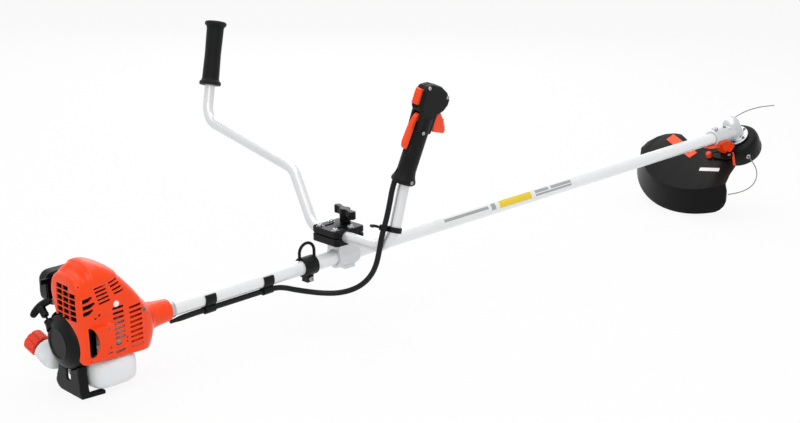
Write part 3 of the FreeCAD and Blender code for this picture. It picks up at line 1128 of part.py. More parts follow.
def build_gear_case(bearings):
    """Cast gear case, bevel pair, bearings and output shaft."""
    wheel_angle = math.atan2(
        math.sin(math.radians(90 - mm("head_tilt"))),
        mm("pinion_teeth") / mm("wheel_teeth") + math.cos(math.radians(90 - mm("head_tilt"))),
    )
    pinion_angle = math.radians(90 - mm("head_tilt")) - wheel_angle
    barrel = rod("case_axis_radius", "dome_rise + flange_top", ("0", "0", "-dome_rise"), "z")
    dome = ball("case_axis_radius", ("0", "0", "-dome_rise"))
    disc = rod("case_flange_radius", "case_flange_width", ("0", "0", "flange_top"), "z")
    cavity = fuse(
        rod("gear_cavity", "dome_rise + seat_gap", ("0", "0", "-dome_rise - seat_gap"), "z"),
        rod("bearing_radius", "flange_top + case_flange_width", ("0", "0", "0"), "z"),
        rod("top_bush_radius", "output_top", ("0", "0", "-output_top"), "z"),
    )
    upper = fuse(barrel, dome, disc)
    upper.Placement = HEAD
    cavity.Placement = HEAD
    clamp = rod("gear_clamp_radius", "clamp_back - case_stop", (GEAR_CLAMP, "0", "0"))
    ear = block("ear_length", "ear_width", "ear_height",
                (f"{GEAR_CLAMP} + ear_inset", "-ear_width / 2", "gear_clamp_radius - ear_inset"))
    hollow = [
        rod("tube_radius", "clamp_back - tube_stop", (GEAR_CLAMP, "0", "0")),
        rod("bearing_radius", "pinion_seat", (TUBE_END, "0", "0")),
        rod("pinion_cavity", "pinion_room", (TUBE_END, "0", "0")),
        cavity,
    ]
    node("gear_case", cut(fuse(clamp, ear, upper), *hollow), SHAFT)
    pinion = bevel_gear(int(mm("pinion_teeth")), pinion_angle, 0)
    pinion.Placement = Placement(Vector(mm("head_x"), 0, 0), Rotation(Vector(0, 1, 0), -90))
    teeth_back = mm("cone_distance") * math.cos(pinion_angle)
    hub_start = mm("head_x") - teeth_back - mm("hub_start")
    shaft_end = mm("head_x") - mm("cone_distance") - mm("hub_length") + mm("hub_socket")
    ahead = Vector(1, 0, 0)
    hub = Part.makeCylinder(mm("hub_rod"), mm("hub_start") + 1, Vector(hub_start, 0, 0), ahead)
    socket = Part.makeCylinder(mm("shaft_radius"), shaft_end - hub_start, Vector(hub_start, 0, 0), ahead)
    node("bevel_pinion", solid(pinion.fuse(hub).removeSplitter().cut(socket)), SHAFT)
    wheel = bevel_gear(int(mm("wheel_teeth")), wheel_angle, 180 / int(mm("wheel_teeth")) + 180)
    wheel.Placement = Placement(Vector(), Rotation(Vector(0, 1, 0), 180))
    shaft_bore = Part.makeCylinder(mm("output_radius"), 80, Vector(0, 0, -40))
    node("bevel_gear", solid(wheel.cut(shaft_bore)), HEAD)
    low = ring("bearing_radius", "output_radius + running_gap", "bearing_width",
               ("0", "0", "flange_top + case_flange_width - bearing_width"), "z")
    low.Placement = HEAD
    high = ring(
        "top_bush_radius", "output_radius + running_gap", "top_bush_width", ("0", "0", "-output_top"), "z",
    )
    high.Placement = HEAD
    for start in (f"{TUBE_END} + seat_gap", f"{TUBE_END} + seat_gap + seat_step"):
        bearings.append(ring("bearing_radius", "hub_rod + running_gap", "bearing_width", (start, "0", "0")))
    bearings += [low, high]
    shaft = [
        ("0", "-output_top + part_gap"), ("output_radius", "-output_top + part_gap"),
        ("output_radius", "flange_top + case_flange_width + face_gap"),
        ("plate_radius", "flange_top + case_flange_width + face_gap"),
        ("plate_radius", "drum_top"), ("output_radius", "drum_top"),
        ("output_radius", "output_low"), ("0", "output_low"),
    ]
    node("output_shaft", turned(shaft, "V_Axis"), HEAD)


def build_shield():
    """The fan-shaped shield with its skirt, its orange bracket and band, and the line knife."""
    def bowl(inset, low):
        rings = []
        for radius, shift, level in (
            ("crease_radius", "0", low),
            ("skirt_radius", "skirt_shift", "plate_level + skirt_depth"),
        ):
            hoop = bind(doc.addObject("Part::Circle", "Hoop"), Radius=f"{radius} - {inset}")
            rings.append(put(hoop, ("rim_a", f"rim_b + {shift}", level)))
        loft = doc.addObject("Part::Loft", "Bowl")
        loft.Sections = rings
        loft.Solid = True
        loft.Ruled = True
        return loft

    sector = padded(traced("shield_plan"), "skirt_depth", "XY_Plane", "plate_level")
    mouth = rod("mouth_radius", "skirt_depth", ("0", "0", "plate_level"), "z")
    end = padded(traced("skirt_end"), "skirt_radius", "YZ_Plane", "end_start")
    bowls = cut(bowl("0", "plate_level"), bowl("skirt_wall", "plate_level + plate_thick"))
    node("shield", cut(common(bowls, sector), mouth, end), HEAD)
    foot_a = "case_flange_radius + part_gap"
    under = "plate_level - strap_thick"
    foot = block(
        "strap_length", "strap_half * 2", "strap_thick", (foot_a, "-strap_half", under + " - part_gap"),
    )
    web = block("web_length", "web_half * 2", "web_depth", (foot_a, "-web_half", under + " - web_depth"))
    clear = []
    for radius, start in (("gear_clamp_radius", GEAR_CLAMP), ("tube_radius + part_gap", "head_x / 2")):
        tool = rod(radius, "head_x / 2")
        tool.Placement = HEAD.inverse() * Placement(Vector(number(start), 0, 0), ALONG["x"])
        clear.append(tool)
    barrel = rod("case_axis_radius", "barrel_low + plate_level", ("0", "0", "-barrel_low"), "z")
    saddle = group(cut(
        rod("gear_clamp_radius + strap_thick", "saddle_length", (f"{GEAR_CLAMP} + saddle_inset", "0", "0")),
        block("saddle_length * 2", "gear_clamp_radius * 4", "gear_clamp_radius * 3",
              (GEAR_CLAMP, "-gear_clamp_radius * 2", "-gear_clamp_radius / 3")),
    ))
    saddle.Placement = HEAD.inverse()
    bracket = cut(fuse(foot, web, saddle), *clear, barrel)
    band = block("band_length", "band_width", "band_thick")
    corner = Vector(mm("band_a"), mm("band_b"), mm("plate_level") - mm("band_thick"))
    side = Placement(Vector(0, -mm("band_width") / 2, 0), Rotation())
    band.Placement = Placement(corner, Rotation(Vector(0, 0, 1), -mm("band_turn"))) * side
    node("shield_bracket", group(bracket, band), HEAD)
    knife = block("knife_thick", "knife_width", "knife_height", ("knife_a", "knife_b", "knife_k"))
    node("line_knife", cut(knife, bowls), HEAD)


def build_line_head():
    """Head drum with its cover, spool, bump knob, eyelets and the two cutting lines."""
    drum = [
        ("output_radius", "drum_top"), ("plate_radius + 5", "drum_top"),
        ("head_radius_out - 6", "drum_top + 3"),
        ("head_radius_out - 1.5", "drum_top + 9"), ("head_radius_out", "drum_top + 17"),
        ("head_radius_out", "head_low"), ("head_radius_out - head_wall", "head_low"),
        ("head_radius_out - head_wall", "drum_top + 17"), ("head_radius_out - head_wall - 2", "drum_top + 9"),
        ("plate_radius + 5", "drum_top + head_wall"), ("output_radius", "drum_top + head_wall"),
    ]
    eyelet_turns = (mm("eyelet_turn"), mm("eyelet_turn") + 180)
    holes = []
    eyelets = []
    for turn in eyelet_turns:
        facing = Rotation(Vector(0, 0, 1), turn) * ALONG["x"]
        out = Rotation(Vector(0, 0, 1), turn).multVec(Vector(1, 0, 0))
        start = out * (mm("head_radius_out") - mm("head_wall") * 2)
        seat = rod("eyelet_radius", "head_wall * 3")
        seat.Placement = Placement(start + Vector(0, 0, mm("eyelet_k")), facing)
        holes.append(seat)
        collar = ring("eyelet_radius", "eyelet_bore", "head_wall * 2.2")
        collar.Placement = Placement(start + Vector(0, 0, mm("eyelet_k")), Rotation(Vector(0, 0, 1), turn))
        eyelets.append(collar)
    node("head_drum", cut(turned(drum, "V_Axis"), *holes), HEAD)
    node("line_eyelets", group(*eyelets), HEAD)
    cover = [
        ("knob_out + part_gap", "head_low"), ("head_radius_out", "head_low"),
        ("head_radius_out - 2", "cover_low_k"),
        ("knob_out + part_gap", "cover_low_k"),
    ]
    node("head_cover", turned(cover, "V_Axis"), HEAD)
    spool = [
        ("output_radius + part_gap", "spool_top"), ("spool_radius", "spool_top"),
        ("spool_radius", "spool_top + spool_flange"), ("spool_hub", "spool_top + spool_flange"),
        ("spool_hub", "spool_low - spool_flange"), ("spool_radius", "spool_low - spool_flange"),
        ("spool_radius", "spool_low"), ("output_radius + part_gap", "spool_low"),
    ]
    node("line_spool", turned(spool, "V_Axis"), HEAD)
    knob = [
        ("output_radius + part_gap", "spool_low"), ("knob_out - 4", "spool_low"),
        ("knob_out - 4", "head_low - 1"),
        ("knob_out", "head_low - 1"),
        ("knob_out", "knob_low - 8"), ("knob_out - 8", "knob_low"), ("0", "knob_low"), ("0", "knob_low - 4"),
        ("output_radius + part_gap", "knob_low - 4"),
    ]
    node("bump_knob", turned(knob, "V_Axis"), HEAD)
    lines = [cord("cutting_line", route, mm("line_gauge")) for route in (LINE_A, LINE_B)]
    node("cutting_lines", group(*lines), HEAD)


# Routes chosen by hand: the conduit in the shaft frame, the cutting lines in the head frame
CABLE = [
    (-9.5, -6, -18.8), (24, -6, -16.95), (190, -6, -16.95), (211, -8, -20), (234, -12.5, -29.5),
    (255, -20, -36.5), (275, -34, -41), (292, -52, -41), (306, -71, -34.5), (315.5, -89, -22),
    (321, -104, -4),
    (322.7, -115, 17), (323.8, -121.5, 42), (326.4, -124.8, 67), (335.6, -126.6, 93), (343.6, -127.4, 121),
    (350.5, -126.6, 144.4), (357.2, -130.1, 166.1),
]
LINE_A = [
    (-27.5, 39.3, 45), (-36, 51, 45), (-48, 59, 45), (-63, 62, 45), (-78, 59, 45.5), (-92, 52, 46),
    (-106, 42, 46.5),
    (-117, 30, 47), (-126, 16, 47), (-133, 0, 47), (-138, -17, 46),
]
LINE_B = [
    (27.5, -39.3, 45), (37, -53, 45), (49, -68, 45), (62, -80, 45.5), (76, -88, 46), (91, -92, 46.5),
    (106, -91, 47),
    (118, -85, 47), (128, -76, 47), (137, -64, 46.5), (144, -51, 46),
]


def build_cable():
    """The throttle conduit, whole, from the engine to the throttle grip."""
    node("throttle_cable", cord("throttle_cable", CABLE, mm("conduit_radius")), SHAFT)


build_shaft()
ball_bearings = []
build_crank_train(build_fan_case(), ball_bearings)
build_cylinder()
build_breathing()
build_starter()
build_tank()
build_cover()
build_stand()
build_tube_fittings()
build_clamp()
build_handlebar()
build_gear_case(ball_bearings)
node("ball_bearings", group(*ball_bearings), SHAFT)
build_shield()
build_line_head()
build_cable()

doc.recompute()
for piece, frame in nodes.values():
    piece.Placement = STANCE * frame * piece.Placement
doc.recompute()

broken = [item.Label for item in doc.Objects if {"Invalid", "Error"} & set(item.State)]
broken += [name for name, (piece, _) in nodes.items() if piece.Shape.isNull() or not piece.Shape.isValid()]
if broken:
    raise SystemExit(f"failed: {broken}")
os.makedirs("parts", exist_ok=True)
for name, (piece, _) in nodes.items():
    piece.Shape.exportStep(f"parts/{name}.step")
print(len(nodes), "sub-parts written; the shaft rises", round(STANCE.Rotation.getYawPitchRoll()[1] * -1, 3))
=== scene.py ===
"""Looks of a petrol string trimmer with a U handlebar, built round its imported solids.

Each sub-assembly is a class. Its sizes are in millimetres of its own `Place`, a frame that is
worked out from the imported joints, and `Place` turns them into metres of the object's frame.
"""
import json
import logging
import math
from dataclasses import dataclass
from enum import Enum
from typing import Callable, Iterable, Sequence

import bmesh
import bpy
from mathutils import Matrix, Vector


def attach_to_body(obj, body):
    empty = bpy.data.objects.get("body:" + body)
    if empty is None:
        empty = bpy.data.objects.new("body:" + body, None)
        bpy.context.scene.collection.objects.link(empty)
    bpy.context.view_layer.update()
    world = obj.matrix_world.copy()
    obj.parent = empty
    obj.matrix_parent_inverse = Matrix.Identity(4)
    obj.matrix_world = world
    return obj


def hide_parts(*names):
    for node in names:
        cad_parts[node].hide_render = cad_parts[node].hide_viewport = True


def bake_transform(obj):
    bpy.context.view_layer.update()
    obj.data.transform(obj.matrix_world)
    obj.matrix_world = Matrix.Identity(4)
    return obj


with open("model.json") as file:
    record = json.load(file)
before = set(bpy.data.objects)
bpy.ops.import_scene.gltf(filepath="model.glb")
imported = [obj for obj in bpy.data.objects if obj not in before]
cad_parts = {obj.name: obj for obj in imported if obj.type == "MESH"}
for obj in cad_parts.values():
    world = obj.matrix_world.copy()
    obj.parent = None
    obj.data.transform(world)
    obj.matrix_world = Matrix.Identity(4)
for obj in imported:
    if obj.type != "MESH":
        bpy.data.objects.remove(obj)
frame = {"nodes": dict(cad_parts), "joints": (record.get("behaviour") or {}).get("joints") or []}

MM = 0.001
# lengths below this count as nothing
SAME_SPOT = 1e-6
# edges sharper than this many degrees are rounded, and after a cut the second is what stays crisp
SOFT_FROM = 32.0
CRISP_FROM = 38.0
WHITE = (1.0, 1.0, 1.0, 1.0)
log = logging.getLogger("trimmer")
Point = tuple[float, float]
Spot = tuple[float, float, float]
Outline = tuple[Point, ...]


class Drive(Enum):
    """The recess in a screw's head."""

    HEX = "hexagon socket"
    CROSS = "cross recess"


# ------------------------------------------------------------------ places


@dataclass(frozen=True)
class Place:
    """A right-handed frame: an origin and axes in metres of the object, used in millimetres."""

    origin: Vector
    x: Vector
    y: Vector
    z: Vector

    def at(self, u: float, v: float, w: float) -> Vector:
        """A point of this place in metres of the object."""
        return self.origin + (self.x * u + self.y * v + self.z * w) * MM

    def local(self, point: Vector) -> Vector:
        """A point of the object in millimetres of this place."""
        offset = (point - self.origin) / MM
        return Vector((offset.dot(self.x), offset.dot(self.y), offset.dot(self.z)))

    def moved(self, u: float, v: float, w: float) -> "Place":
        """This place carried to another origin."""
        return Place(self.at(u, v, w), self.x, self.y, self.z)

    def turned(self, degrees: float, axis: str) -> "Place":
        """This place turned about one of its own axes.

        Args:
            degrees: The angle, by the right-hand rule.
            axis: One of "x", "y" and "z".

        Returns:
            The turned place.
        """
        turn = Matrix.Rotation(math.radians(degrees), 3, getattr(self, axis))
        return Place(self.origin, turn @ self.x, turn @ self.y, turn @ self.z)

    def facing(self, u: float, v: float, w: float) -> "Place":
        """A place at the same origin whose z axis points along a direction of this one.

        Args:
            u: Share of this place's x axis.
            v: Share of its y axis.
            w: Share of its z axis.

        Returns:
            The place that faces that way.
        """
        z = (self.x * u + self.y * v + self.z * w).normalized()
        guide = self.x if abs(z.dot(self.x)) < 0.9 else self.y
        y = z.cross(guide).normalized()
        return Place(self.origin, y.cross(z), y, z)


def joint(name: str) -> tuple[Vector, Vector]:
    """The position and the unit axis of a packed joint; a slide has no position of its own."""
    found = next(item for item in frame["joints"] if item["name"] == name)
    return Vector(found.get("pos_m", (0, 0, 0))), Vector(found["axis"]).normalized()


@dataclass(frozen=True)
class Places:
    """The frames of the sub-assemblies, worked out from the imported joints."""

    drive_mark: float = 700.0
    bar_lean: float = 17.1
    guide: Spot = (-192.5, 23.5, 16.5)
    trigger_pivot: Point = (14.0, 113.0)

    @property
    def shaft(self) -> Place:
        """Origin where the tube leaves the fan case, X along the tube, Z up and square to it."""
        mark, x = joint("drive_spin")
        y = Vector((0.0, 1.0, 0.0))
        return Place(mark - x * self.drive_mark * MM, x, y, x.cross(y))

    @property
    def head(self) -> Place:
        """Origin where the head's axis meets the shaft's, Z down along the head."""
        middle, z = joint("head_spin")
        y = Vector((0.0, 1.0, 0.0))
        return Place(middle, y.cross(z), y, z)

    @property
    def bar(self) -> Place:
        """Origin in the clamp, Y along the bar's middle run, Z up in the bar's leaning plane."""
        clamp, _ = joint("handle_tilt")
        shaft = self.shaft
        return Place(clamp, shaft.x, shaft.y, shaft.z).turned(self.bar_lean, "y")

    @property
    def grip(self) -> Place:
        """Origin at the throttle grip's cuff, Z up along the grip, X forwards."""
        pivot, y = joint("trigger_squeeze")
        z = -joint("stop_switch_slide")[1]
        x = y.cross(z).normalized()
        u, w = self.trigger_pivot
        return Place(pivot - (x * u + z * w) * MM, x, y, z)

    @property
    def rope(self) -> Place:
        """Origin on the starter's rope guide, Z out along the rope."""
        _, z = joint("starter_pull")
        x = self.shaft.x
        return Place(self.shaft.at(*self.guide), x, z.cross(x), z)

    @property
    def cap(self) -> Place:
        """Origin in the middle of the fuel cap, Z out along the filler neck."""
        middle, z = joint("cap_turn")
        y = z.cross(self.shaft.x).normalized()
        return Place(middle, y.cross(z), y, z)


# ------------------------------------------------------------------ finishes


def linear(code: str) -> tuple[float, float, float, float]:
    """An sRGB hex value as a linear colour."""
    shares = [int(code[i:i + 2], 16) / 255 for i in (1, 3, 5)]
    red, green, blue = (s / 12.92 if s <= 0.04045 else ((s + 0.055) / 1.055) ** 2.4 for s in shares)
    return red, green, blue, 1.0


def add_node(
    tree: bpy.types.NodeTree, kind: str, values: dict | None = None, links: dict | None = None,
    **settings: object
) -> bpy.types.Node:
    """Add a shader node.

    Args:
        tree: The material's node tree.
        kind: The node's type name.
        values: What to set on its input sockets, by name or index.
        links: The output sockets that feed its input sockets, by name or index.
        settings: Other properties of the node.

    Returns:
        The new node.
    """
    made = tree.nodes.new(kind)
    for key, value in settings.items():
        setattr(made, key, value)
    for key, value in (values or {}).items():
        made.inputs[key].default_value = value
    for key, source in (links or {}).items():
        tree.links.new(source, made.inputs[key])
    return made


def empty_tree(owner: bpy.types.Material | bpy.types.World) -> bpy.types.NodeTree:
    """The shader tree of a material or a world, emptied."""
    owner.use_nodes = True
    owner.node_tree.nodes.clear()
    return owner.node_tree


@dataclass(frozen=True)
class Finish:
    """A surface: its colours, its gloss, and the grain that the way it was made leaves on it.

    Sizes are in millimetres. `colour` and `shade` are mixed by a broad cloud, `grain` is a fine
    bump, `wave` is a broad one, and `wear` lightens the corners that hands and grass rub.
    """

    name: str
    slot: str
    colour: str
    shade: str
    roughness: float = 0.45
    metallic: float = 0.0
    ior: float = 1.5
    specular: float = 0.5
    cloud: float = 60.0
    grain: float = 0.8
    grain_depth: float = 0.15
    wave: float = 18.0
    wave_depth: float = 0.05
    mottle: float = 0.12
    wear: str = ""
    wear_share: float = 0.25
    coat: float = 0.0
    sheen: float = 0.0
    subsurface: float = 0.0
    transmission: float = 0.0
    stretch: Spot = (1.0, 1.0, 1.0)

    def material(self) -> bpy.types.Material:
        """The material, made once.

        Returns:
            The Blender material of this finish.
        """
        found = bpy.data.materials.get(self.name)
        if found:
            return found
        made = bpy.data.materials.new(self.name)
        tree = empty_tree(made)
        place = add_node(tree, "ShaderNodeTexCoord").outputs["Object"]
        scaled = add_node(
            tree, "ShaderNodeMapping", {"Scale": self.stretch}, {"Vector": place}
        ).outputs[0]
        clouds = self._noise(tree, scaled, self.cloud, 3.0)
        grain = self._noise(tree, scaled, self.grain, 2.0)
        waves = self._noise(tree, scaled, self.wave, 2.0)
        colour = self._colour(tree, clouds)
        low, high = self.roughness * (1 - self.mottle), self.roughness * (1 + self.mottle)
        rough = add_node(
            tree, "ShaderNodeMapRange", {"To Min": low, "To Max": min(1.0, high)}, {"Value": waves}
        )
        broad = add_node(
            tree, "ShaderNodeBump", {"Strength": 0.6, "Distance": self.wave_depth * MM},
            {"Height": waves}
        )
        fine = add_node(
            tree, "ShaderNodeBump", {"Strength": 0.8, "Distance": self.grain_depth * MM},
            {"Height": grain, "Normal": broad.outputs[0]}
        )
        surface = add_node(
            tree, "ShaderNodeBsdfPrincipled",
            {
                "Metallic": self.metallic, "IOR": self.ior, "Specular IOR Level": self.specular,
                "Coat Weight": self.coat, "Coat Roughness": 0.12, "Sheen Weight": self.sheen,
                "Subsurface Weight": self.subsurface, "Subsurface Scale": 4 * MM,
                "Transmission Weight": self.transmission,
            },
            {"Base Color": colour, "Roughness": rough.outputs[0], "Normal": fine.outputs[0]}
        )
        add_node(tree, "ShaderNodeOutputMaterial", links={"Surface": surface.outputs[0]})
        return made

    def _noise(self, tree: bpy.types.NodeTree, place: bpy.types.NodeSocket, size: float,
               detail: float) -> bpy.types.NodeSocket:
        """A noise whose blobs are about a size in millimetres across."""
        return add_node(tree, "ShaderNodeTexNoise", {"Scale": 1 / (size * MM), "Detail": detail},
                        {"Vector": place}).outputs[0]

    def _colour(
        self, tree: bpy.types.NodeTree, clouds: bpy.types.NodeSocket
    ) -> bpy.types.NodeSocket:
        """The two colours mixed by the clouds, with rubbed corners where the finish has them."""
        mixed = add_node(
            tree, "ShaderNodeMix", {6: linear(self.colour), 7: linear(self.shade)}, {0: clouds},
            data_type="RGBA"
        ).outputs[2]
        if not self.wear:
            return mixed
        corner = add_node(tree, "ShaderNodeNewGeometry").outputs["Pointiness"]
        share = add_node(
            tree, "ShaderNodeMapRange",
            {"From Min": 0.52, "From Max": 0.60, "To Max": self.wear_share}, {"Value": corner}
        )
        return add_node(
            tree, "ShaderNodeMix", {7: linear(self.wear)}, {0: share.outputs[0], 6: mixed},
            data_type="RGBA"
        ).outputs[2]


# ABS moulded in a polished tool and then left as it is: glossy, with faint flow marks
COVER_ABS = Finish(
    "orange_abs_moulded", "housing_orange", "#FF4808", "#FA4005", 0.32, specular=0.25, cloud=70,
    grain=0.5, grain_depth=0.02, wave=22, wave_depth=0.12, wear="#FF8458", wear_share=0.35,
    coat=0.08
)
# acetal of the trigger and the switch: a little waxy
TRIGGER_ACETAL = Finish(
    "orange_acetal_moulded", "trigger_orange", "#FF4A0A", "#FA4206", 0.36, specular=0.32, grain=0.5,
    grain_depth=0.02, wear="#FF8A60", coat=0.05
)
# HDPE of the fuel cap: waxier and softer than the cover
CAP_HDPE = Finish(
    "red_hdpe_moulded", "cap_red", "#F8452A", "#EC3C20", 0.38, specular=0.35, grain=0.6,
    grain_depth=0.04, wear="#FF8468", subsurface=0.08
)
# nylon with glass fibre, spark-eroded tool: an even grain, drawn coarser than real so that it shows
CASE_NYLON = Finish(
    "black_glass_nylon_eroded", "black_plastic", "#090A0B", "#060708", 0.38, specular=0.15,
    grain=0.55, grain_depth=0.10, wear="#3A3B3E", wear_share=0.4
)
# polypropylene of the shield: dark, with long flow waves
SHIELD_PP = Finish(
    "black_polypropylene_moulded", "shield_plastic", "#0A0909", "#0F0D0C", 0.33, specular=0.12,
    grain=1.2, grain_depth=0.03, cloud=90, wave=40, wave_depth=0.25, wear="#3C3A38", wear_share=0.25
)
# thermoplastic rubber of the grips: matt, soft and finely pebbled
GRIP_TPE = Finish(
    "black_tpe_moulded", "grip_rubber", "#0E0F10", "#0A0B0C", 0.55, specular=0.15, grain=0.7,
    grain_depth=0.14, sheen=0.06, wear="#303133", wear_share=0.35
)
# aluminium tube, powder coated in pale silver: fine flake under a smooth skin
TUBE_POWDER = Finish(
    "silver_powder_coat", "tube_silver", "#F3F4F5", "#EAECED", 0.32, metallic=0.15, cloud=120,
    grain=0.35, grain_depth=0.02, wave=60, wave_depth=0.05, coat=0.2
)
# the handlebar's steel tube, silver lacquered
BAR_LACQUER = Finish(
    "silver_lacquered_steel", "bar_silver", "#E4E5E7", "#D9DBDD", 0.30, metallic=0.4, cloud=90,
    grain=0.4, grain_depth=0.004, wave=50, wave_depth=0.02, coat=0.15
)
# pressure die-cast aluminium, shot blasted
DIECAST = Finish(
    "blasted_diecast_aluminium", "cast_metal", "#DADCDE", "#C6C8CB", 0.42, metallic=0.75, grain=0.9,
    grain_depth=0.10, cloud=25, wave=9, wave_depth=0.15, mottle=0.2, wear="#F2F3F4", wear_share=0.5
)
# steel screws, zinc plated and bright
ZINC = Finish(
    "bright_zinc_plate", "bright_steel", "#BCBEC1", "#A2A4A8", 0.30, metallic=1.0, grain=0.3,
    grain_depth=0.02
)
# ground steel under a film of oil
STEEL = Finish(
    "oiled_ground_steel", "dark_steel", "#7C7E82", "#5E6064", 0.34, metallic=1.0, grain=0.25,
    grain_depth=0.03
)
# heat-stained muffler sheet seen through the vents
HEATED = Finish(
    "heat_stained_steel", "dark_steel", "#2E2A27", "#1E1B19", 0.55, metallic=0.4, cloud=14,
    grain=0.8
)
# blow-moulded natural HDPE: milky, with soft swells
TANK_HDPE = Finish(
    "milky_hdpe_blown", "tank_white", "#F4F7F8", "#E9EFF2", 0.33, cloud=45, grain=1.0,
    grain_depth=0.02, wave=30, wave_depth=0.5, subsurface=0.3
)
# moulded clear polyurethane of the primer bulb
BULB_PU = Finish(
    "clear_polyurethane", "bulb_clear", "#E8E8E0", "#DADAD0", 0.15, transmission=0.55,
    grain_depth=0.0
)
# extruded nylon line, grey and faintly clear
LINE_NYLON = Finish(
    "grey_nylon_line", "line_nylon", "#8E9092", "#7C7E80", 0.35, grain=0.5, grain_depth=0.02,
    subsurface=0.1
)
# PVC sheath of the cables, extruded: smooth along its run
SHEATH_PVC = Finish(
    "black_pvc_sheath", "cable_sheath", "#141517", "#0E0F11", 0.38, specular=0.2, grain=0.9,
    grain_depth=0.02, wave=25, wave_depth=0.08
)
# fuel hose
HOSE_NBR = Finish(
    "black_nitrile_hose", "fuel_hose", "#1A1A1A", "#101010", 0.5, specular=0.2, grain=0.5
)
# braided nylon of the starter's rope
ROPE_BRAID = Finish(
    "black_braided_nylon", "line_nylon", "#17181A", "#0C0D0E", 0.6, specular=0.2, grain=0.6,
    grain_depth=0.2
)
# gloss print on polyester film, plain
LABEL_FILM = Finish(
    "pale_polyester_film", "tank_white", "#F3F4F2", "#ECEDEA", 0.22, grain=0.4, grain_depth=0.0,
    coat=0.3
)
LABEL_YELLOW = Finish("yellow_polyester_film", "tank_white", "#EFD21E", "#E8C817", 0.25, grain=0.4,
                      grain_depth=0.0, coat=0.3)
LABEL_GREY = Finish(
    "grey_polyester_film", "tube_silver", "#A9ADB1", "#9CA0A5", 0.28, grain=0.4, grain_depth=0.0,
    coat=0.3
)
# painted shade: a matt black sheet that stands in for the shade inside the cover behind a vent
PAINTED_SHADE = Finish(
    "matt_black_paint", "black_plastic", "#060606", "#040404", 0.8, specular=0.05, grain_depth=0.0
)


# ------------------------------------------------------------------ forms


def smooth_step(value: float) -> float:
    """0 below 0, 1 above 1 and a smooth rise between."""
    share = max(0.0, min(1.0, value))
    return share * share * (3 - 2 * share)


def between(value: float, low: float, high: float, edge: float) -> float:
    """1 well inside a span, 0 outside it, with soft edges of a width."""
    return smooth_step((value - low) / edge) * smooth_step((high - value) / edge)


def rounded(points: Sequence[Point], radius: float, steps: int = 5) -> list[Point]:
    """A closed outline with its corners turned into arcs.

    Args:
        points: The corners in order.
        radius: The arcs' radius, cut down where a side is too short for it.
        steps: How many short sides make an arc.

    Returns:
        The rounded outline.
    """
    made: list[Point] = []
    count = len(points)
    for i, here in enumerate(points):
        corner = Vector(here)
        back = Vector(points[i - 1]) - corner
        ahead = Vector(points[(i + 1) % count]) - corner
        reach = min(radius, back.length * 0.45, ahead.length * 0.45)
        start = corner + back.normalized() * reach
        end = corner + ahead.normalized() * reach
        for k in range(steps + 1):
            t = k / steps
            spot = start * (1 - t) ** 2 + corner * (2 * t * (1 - t)) + end * t ** 2
            made.append((spot.x, spot.y))
    return made


def add_object(name: str, data: bpy.types.ID | None) -> bpy.types.Object:
    """A new object of the scene that shows a datablock."""
    made = bpy.data.objects.new(name, data)
    bpy.context.scene.collection.objects.link(made)
    return made


def finished_mesh(source: bpy.types.Object) -> bpy.types.Mesh:
    """A new mesh of an object with its modifiers applied."""
    return bpy.data.meshes.new_from_object(
        source.evaluated_get(bpy.context.evaluated_depsgraph_get())
    )


def baked(name: str, mesh: bmesh.types.BMesh) -> bpy.types.Mesh:
    """A mesh datablock made from a working mesh, which is freed."""
    data = bpy.data.meshes.new(name)
    mesh.to_mesh(data)
    mesh.free()
    return data


def attach(piece: bpy.types.Object, body: str, slot: str, *nodes: str) -> bpy.types.Object:
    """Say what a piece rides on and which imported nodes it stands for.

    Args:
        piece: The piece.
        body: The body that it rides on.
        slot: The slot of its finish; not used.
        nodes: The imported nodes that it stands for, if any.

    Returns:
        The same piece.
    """
    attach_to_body(piece, body)
    if nodes:
        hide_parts(*nodes)
    log.info("piece %s rides on %s, stands for %s", piece.name, body, ", ".join(nodes) or "itself")
    return piece


